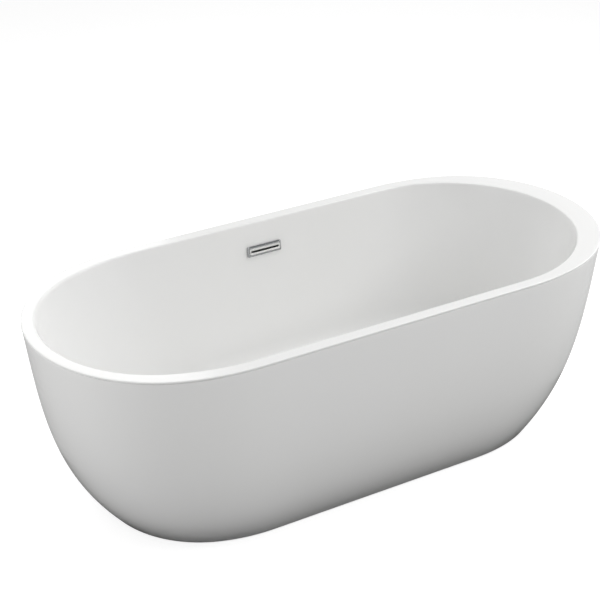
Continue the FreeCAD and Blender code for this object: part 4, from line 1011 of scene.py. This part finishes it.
def make_shade_card():
    """A black card in the floor under the tub, which shades the foot of the skirt but isn't seen."""
    reach, depth = 0.22, 0.002
    ring = level_ring(skirt_sizes(0.0), -reach, -depth)
    mesh = bpy.data.meshes.new("shade_card")
    mesh.from_pydata([tuple(point) for point in ring.tolist()], [], [tuple(range(len(ring)))])
    card = bpy.data.objects.new("shade_card", mesh)
    bpy.context.scene.collection.objects.link(card)
    n = Nodes("black_card")
    n.link(Base_Color=n.colours(n.noise(3.0, 2), [(0.3, grey(0.0)), (0.7, grey(0.004))]),
           Roughness=n.span(n.noise(8.0, 3), 0.8, 0.9))
    mesh.materials.append(n.material)
    card.visible_camera = False


# Strengths of the world: straight up, along the horizon to either side, and below the horizon.
OVERHEAD = 0.35
HORIZON = {"behind": 0.6, "right": 0.939}
GROUND = 1.668

# Each soft box's place and its power in watts.
SOFT_BOXES = {
    "top": ((0, 0, 3.2), 11.8),
    "high_right": ((2.6, 0.2, 2.6), 25.0),
    "high_left": ((-2.6, 0.2, 2.6), 13.1),
    "high_back": ((0, 2.6, 2.6), 21.9),
    "high_front_right": ((2.2, -2.2, 2.6), 43.4),
    "high_front_left": ((-2.2, -2.2, 2.6), 13.4),
    "low_right": ((3.6, 0.4, 1.0), 10.6),
    "low_left": ((-3.6, 0.4, 1.0), 9.2),
    "low_front_right": ((3.6, -1.6, 1.0), 6.7),
    "low_front_left": ((-3.6, -1.6, 1.0), 15.3),
    "back_left": ((-3.2, 1.5, 1.6), 9.1),
}
SOFT_BOX_SIZE = 2.0
SOFT_BOX_TARGET = Vector((0, 0, 0.4))


def soft_box(name, place, power):
    """A square light that faces the tub."""
    data = bpy.data.lights.new(name, "AREA")
    data.shape = "RECTANGLE"
    data.size = data.size_y = SOFT_BOX_SIZE
    data.energy = power
    light = bpy.data.objects.new(name, data)
    bpy.context.scene.collection.objects.link(light)
    light.location = place
    light.rotation_euler = (Vector(place) - SOFT_BOX_TARGET).to_track_quat("Z", "Y").to_euler()


def make_light():
    """A soft studio of a dim dome, a pale horizon behind and at the right, pale ground and soft boxes.

    The dome is brightest overhead, and the ground is brightest near the horizon.
    """
    world = bpy.data.worlds.new("studio")
    bpy.context.scene.world = world
    world.use_nodes = True
    tree = world.node_tree
    coordinates = tree.nodes.new("ShaderNodeTexCoord")
    split = tree.nodes.new("ShaderNodeSeparateXYZ")
    tree.links.new(coordinates.outputs["Generated"], split.inputs[0])
    x, y, z = split.outputs

    def calculate(operation, *values):
        node = tree.nodes.new("ShaderNodeMath")
        node.operation = operation
        for socket, number in zip(node.inputs, values):
            if isinstance(number, (int, float)):
                socket.default_value = number
            else:
                tree.links.new(number, socket)
        return node.outputs[0]

    def positive(axis):
        return calculate("MAXIMUM", axis, 0.0)

    above = calculate("GREATER_THAN", z, 0.0)
    level = calculate("SUBTRACT", 1.0, calculate("ABSOLUTE", z))
    sides = calculate("ADD", calculate("MULTIPLY", positive(y), HORIZON["behind"]),
                      calculate("MULTIPLY", positive(x), HORIZON["right"]))
    horizon = calculate("MULTIPLY", calculate("MULTIPLY", level, sides), above)
    overhead = calculate("MULTIPLY", calculate("POWER", positive(z), 1.5), OVERHEAD)
    upper = calculate("ADD", overhead, horizon)
    below = calculate("SUBTRACT", 1.0, above)
    lower = calculate("MULTIPLY", calculate("MULTIPLY", calculate("POWER", level, 2.0), GROUND), below)
    background = tree.nodes["Background"]
    background.inputs["Color"].default_value = (1, 1, 1, 1)
    tree.links.new(calculate("ADD", upper, lower), background.inputs["Strength"])
    for name, (place, power) in SOFT_BOXES.items():
        soft_box(name, place, power)
    bpy.context.scene.view_settings.view_transform = "Standard"


make_camera()
make_floor()
make_shade_card()
make_light()
finish_cad_nodes()
make_outer_shell()
make_basin()
make_overflow_cover()
make_overflow_nuts()
make_overflow_pipe()
upper_clamp = Matrix.Translation((0, SPIGOT_Y, -0.044))
make_clamp("clamp_at_housing", "pipe_clamp_upper", ON_WALL @ upper_clamp)
lower_clamp = Matrix.Translation((0, 0.044, INLET_HEIGHT)) @ Matrix.Rotation(-math.pi / 2, 4, "X")
make_clamp("clamp_at_waste", "pipe_clamp_lower", lower_clamp)
make_plug_cap()
make_feet()
make_foot_nuts()
make_screws()
make_adhesive_pads()
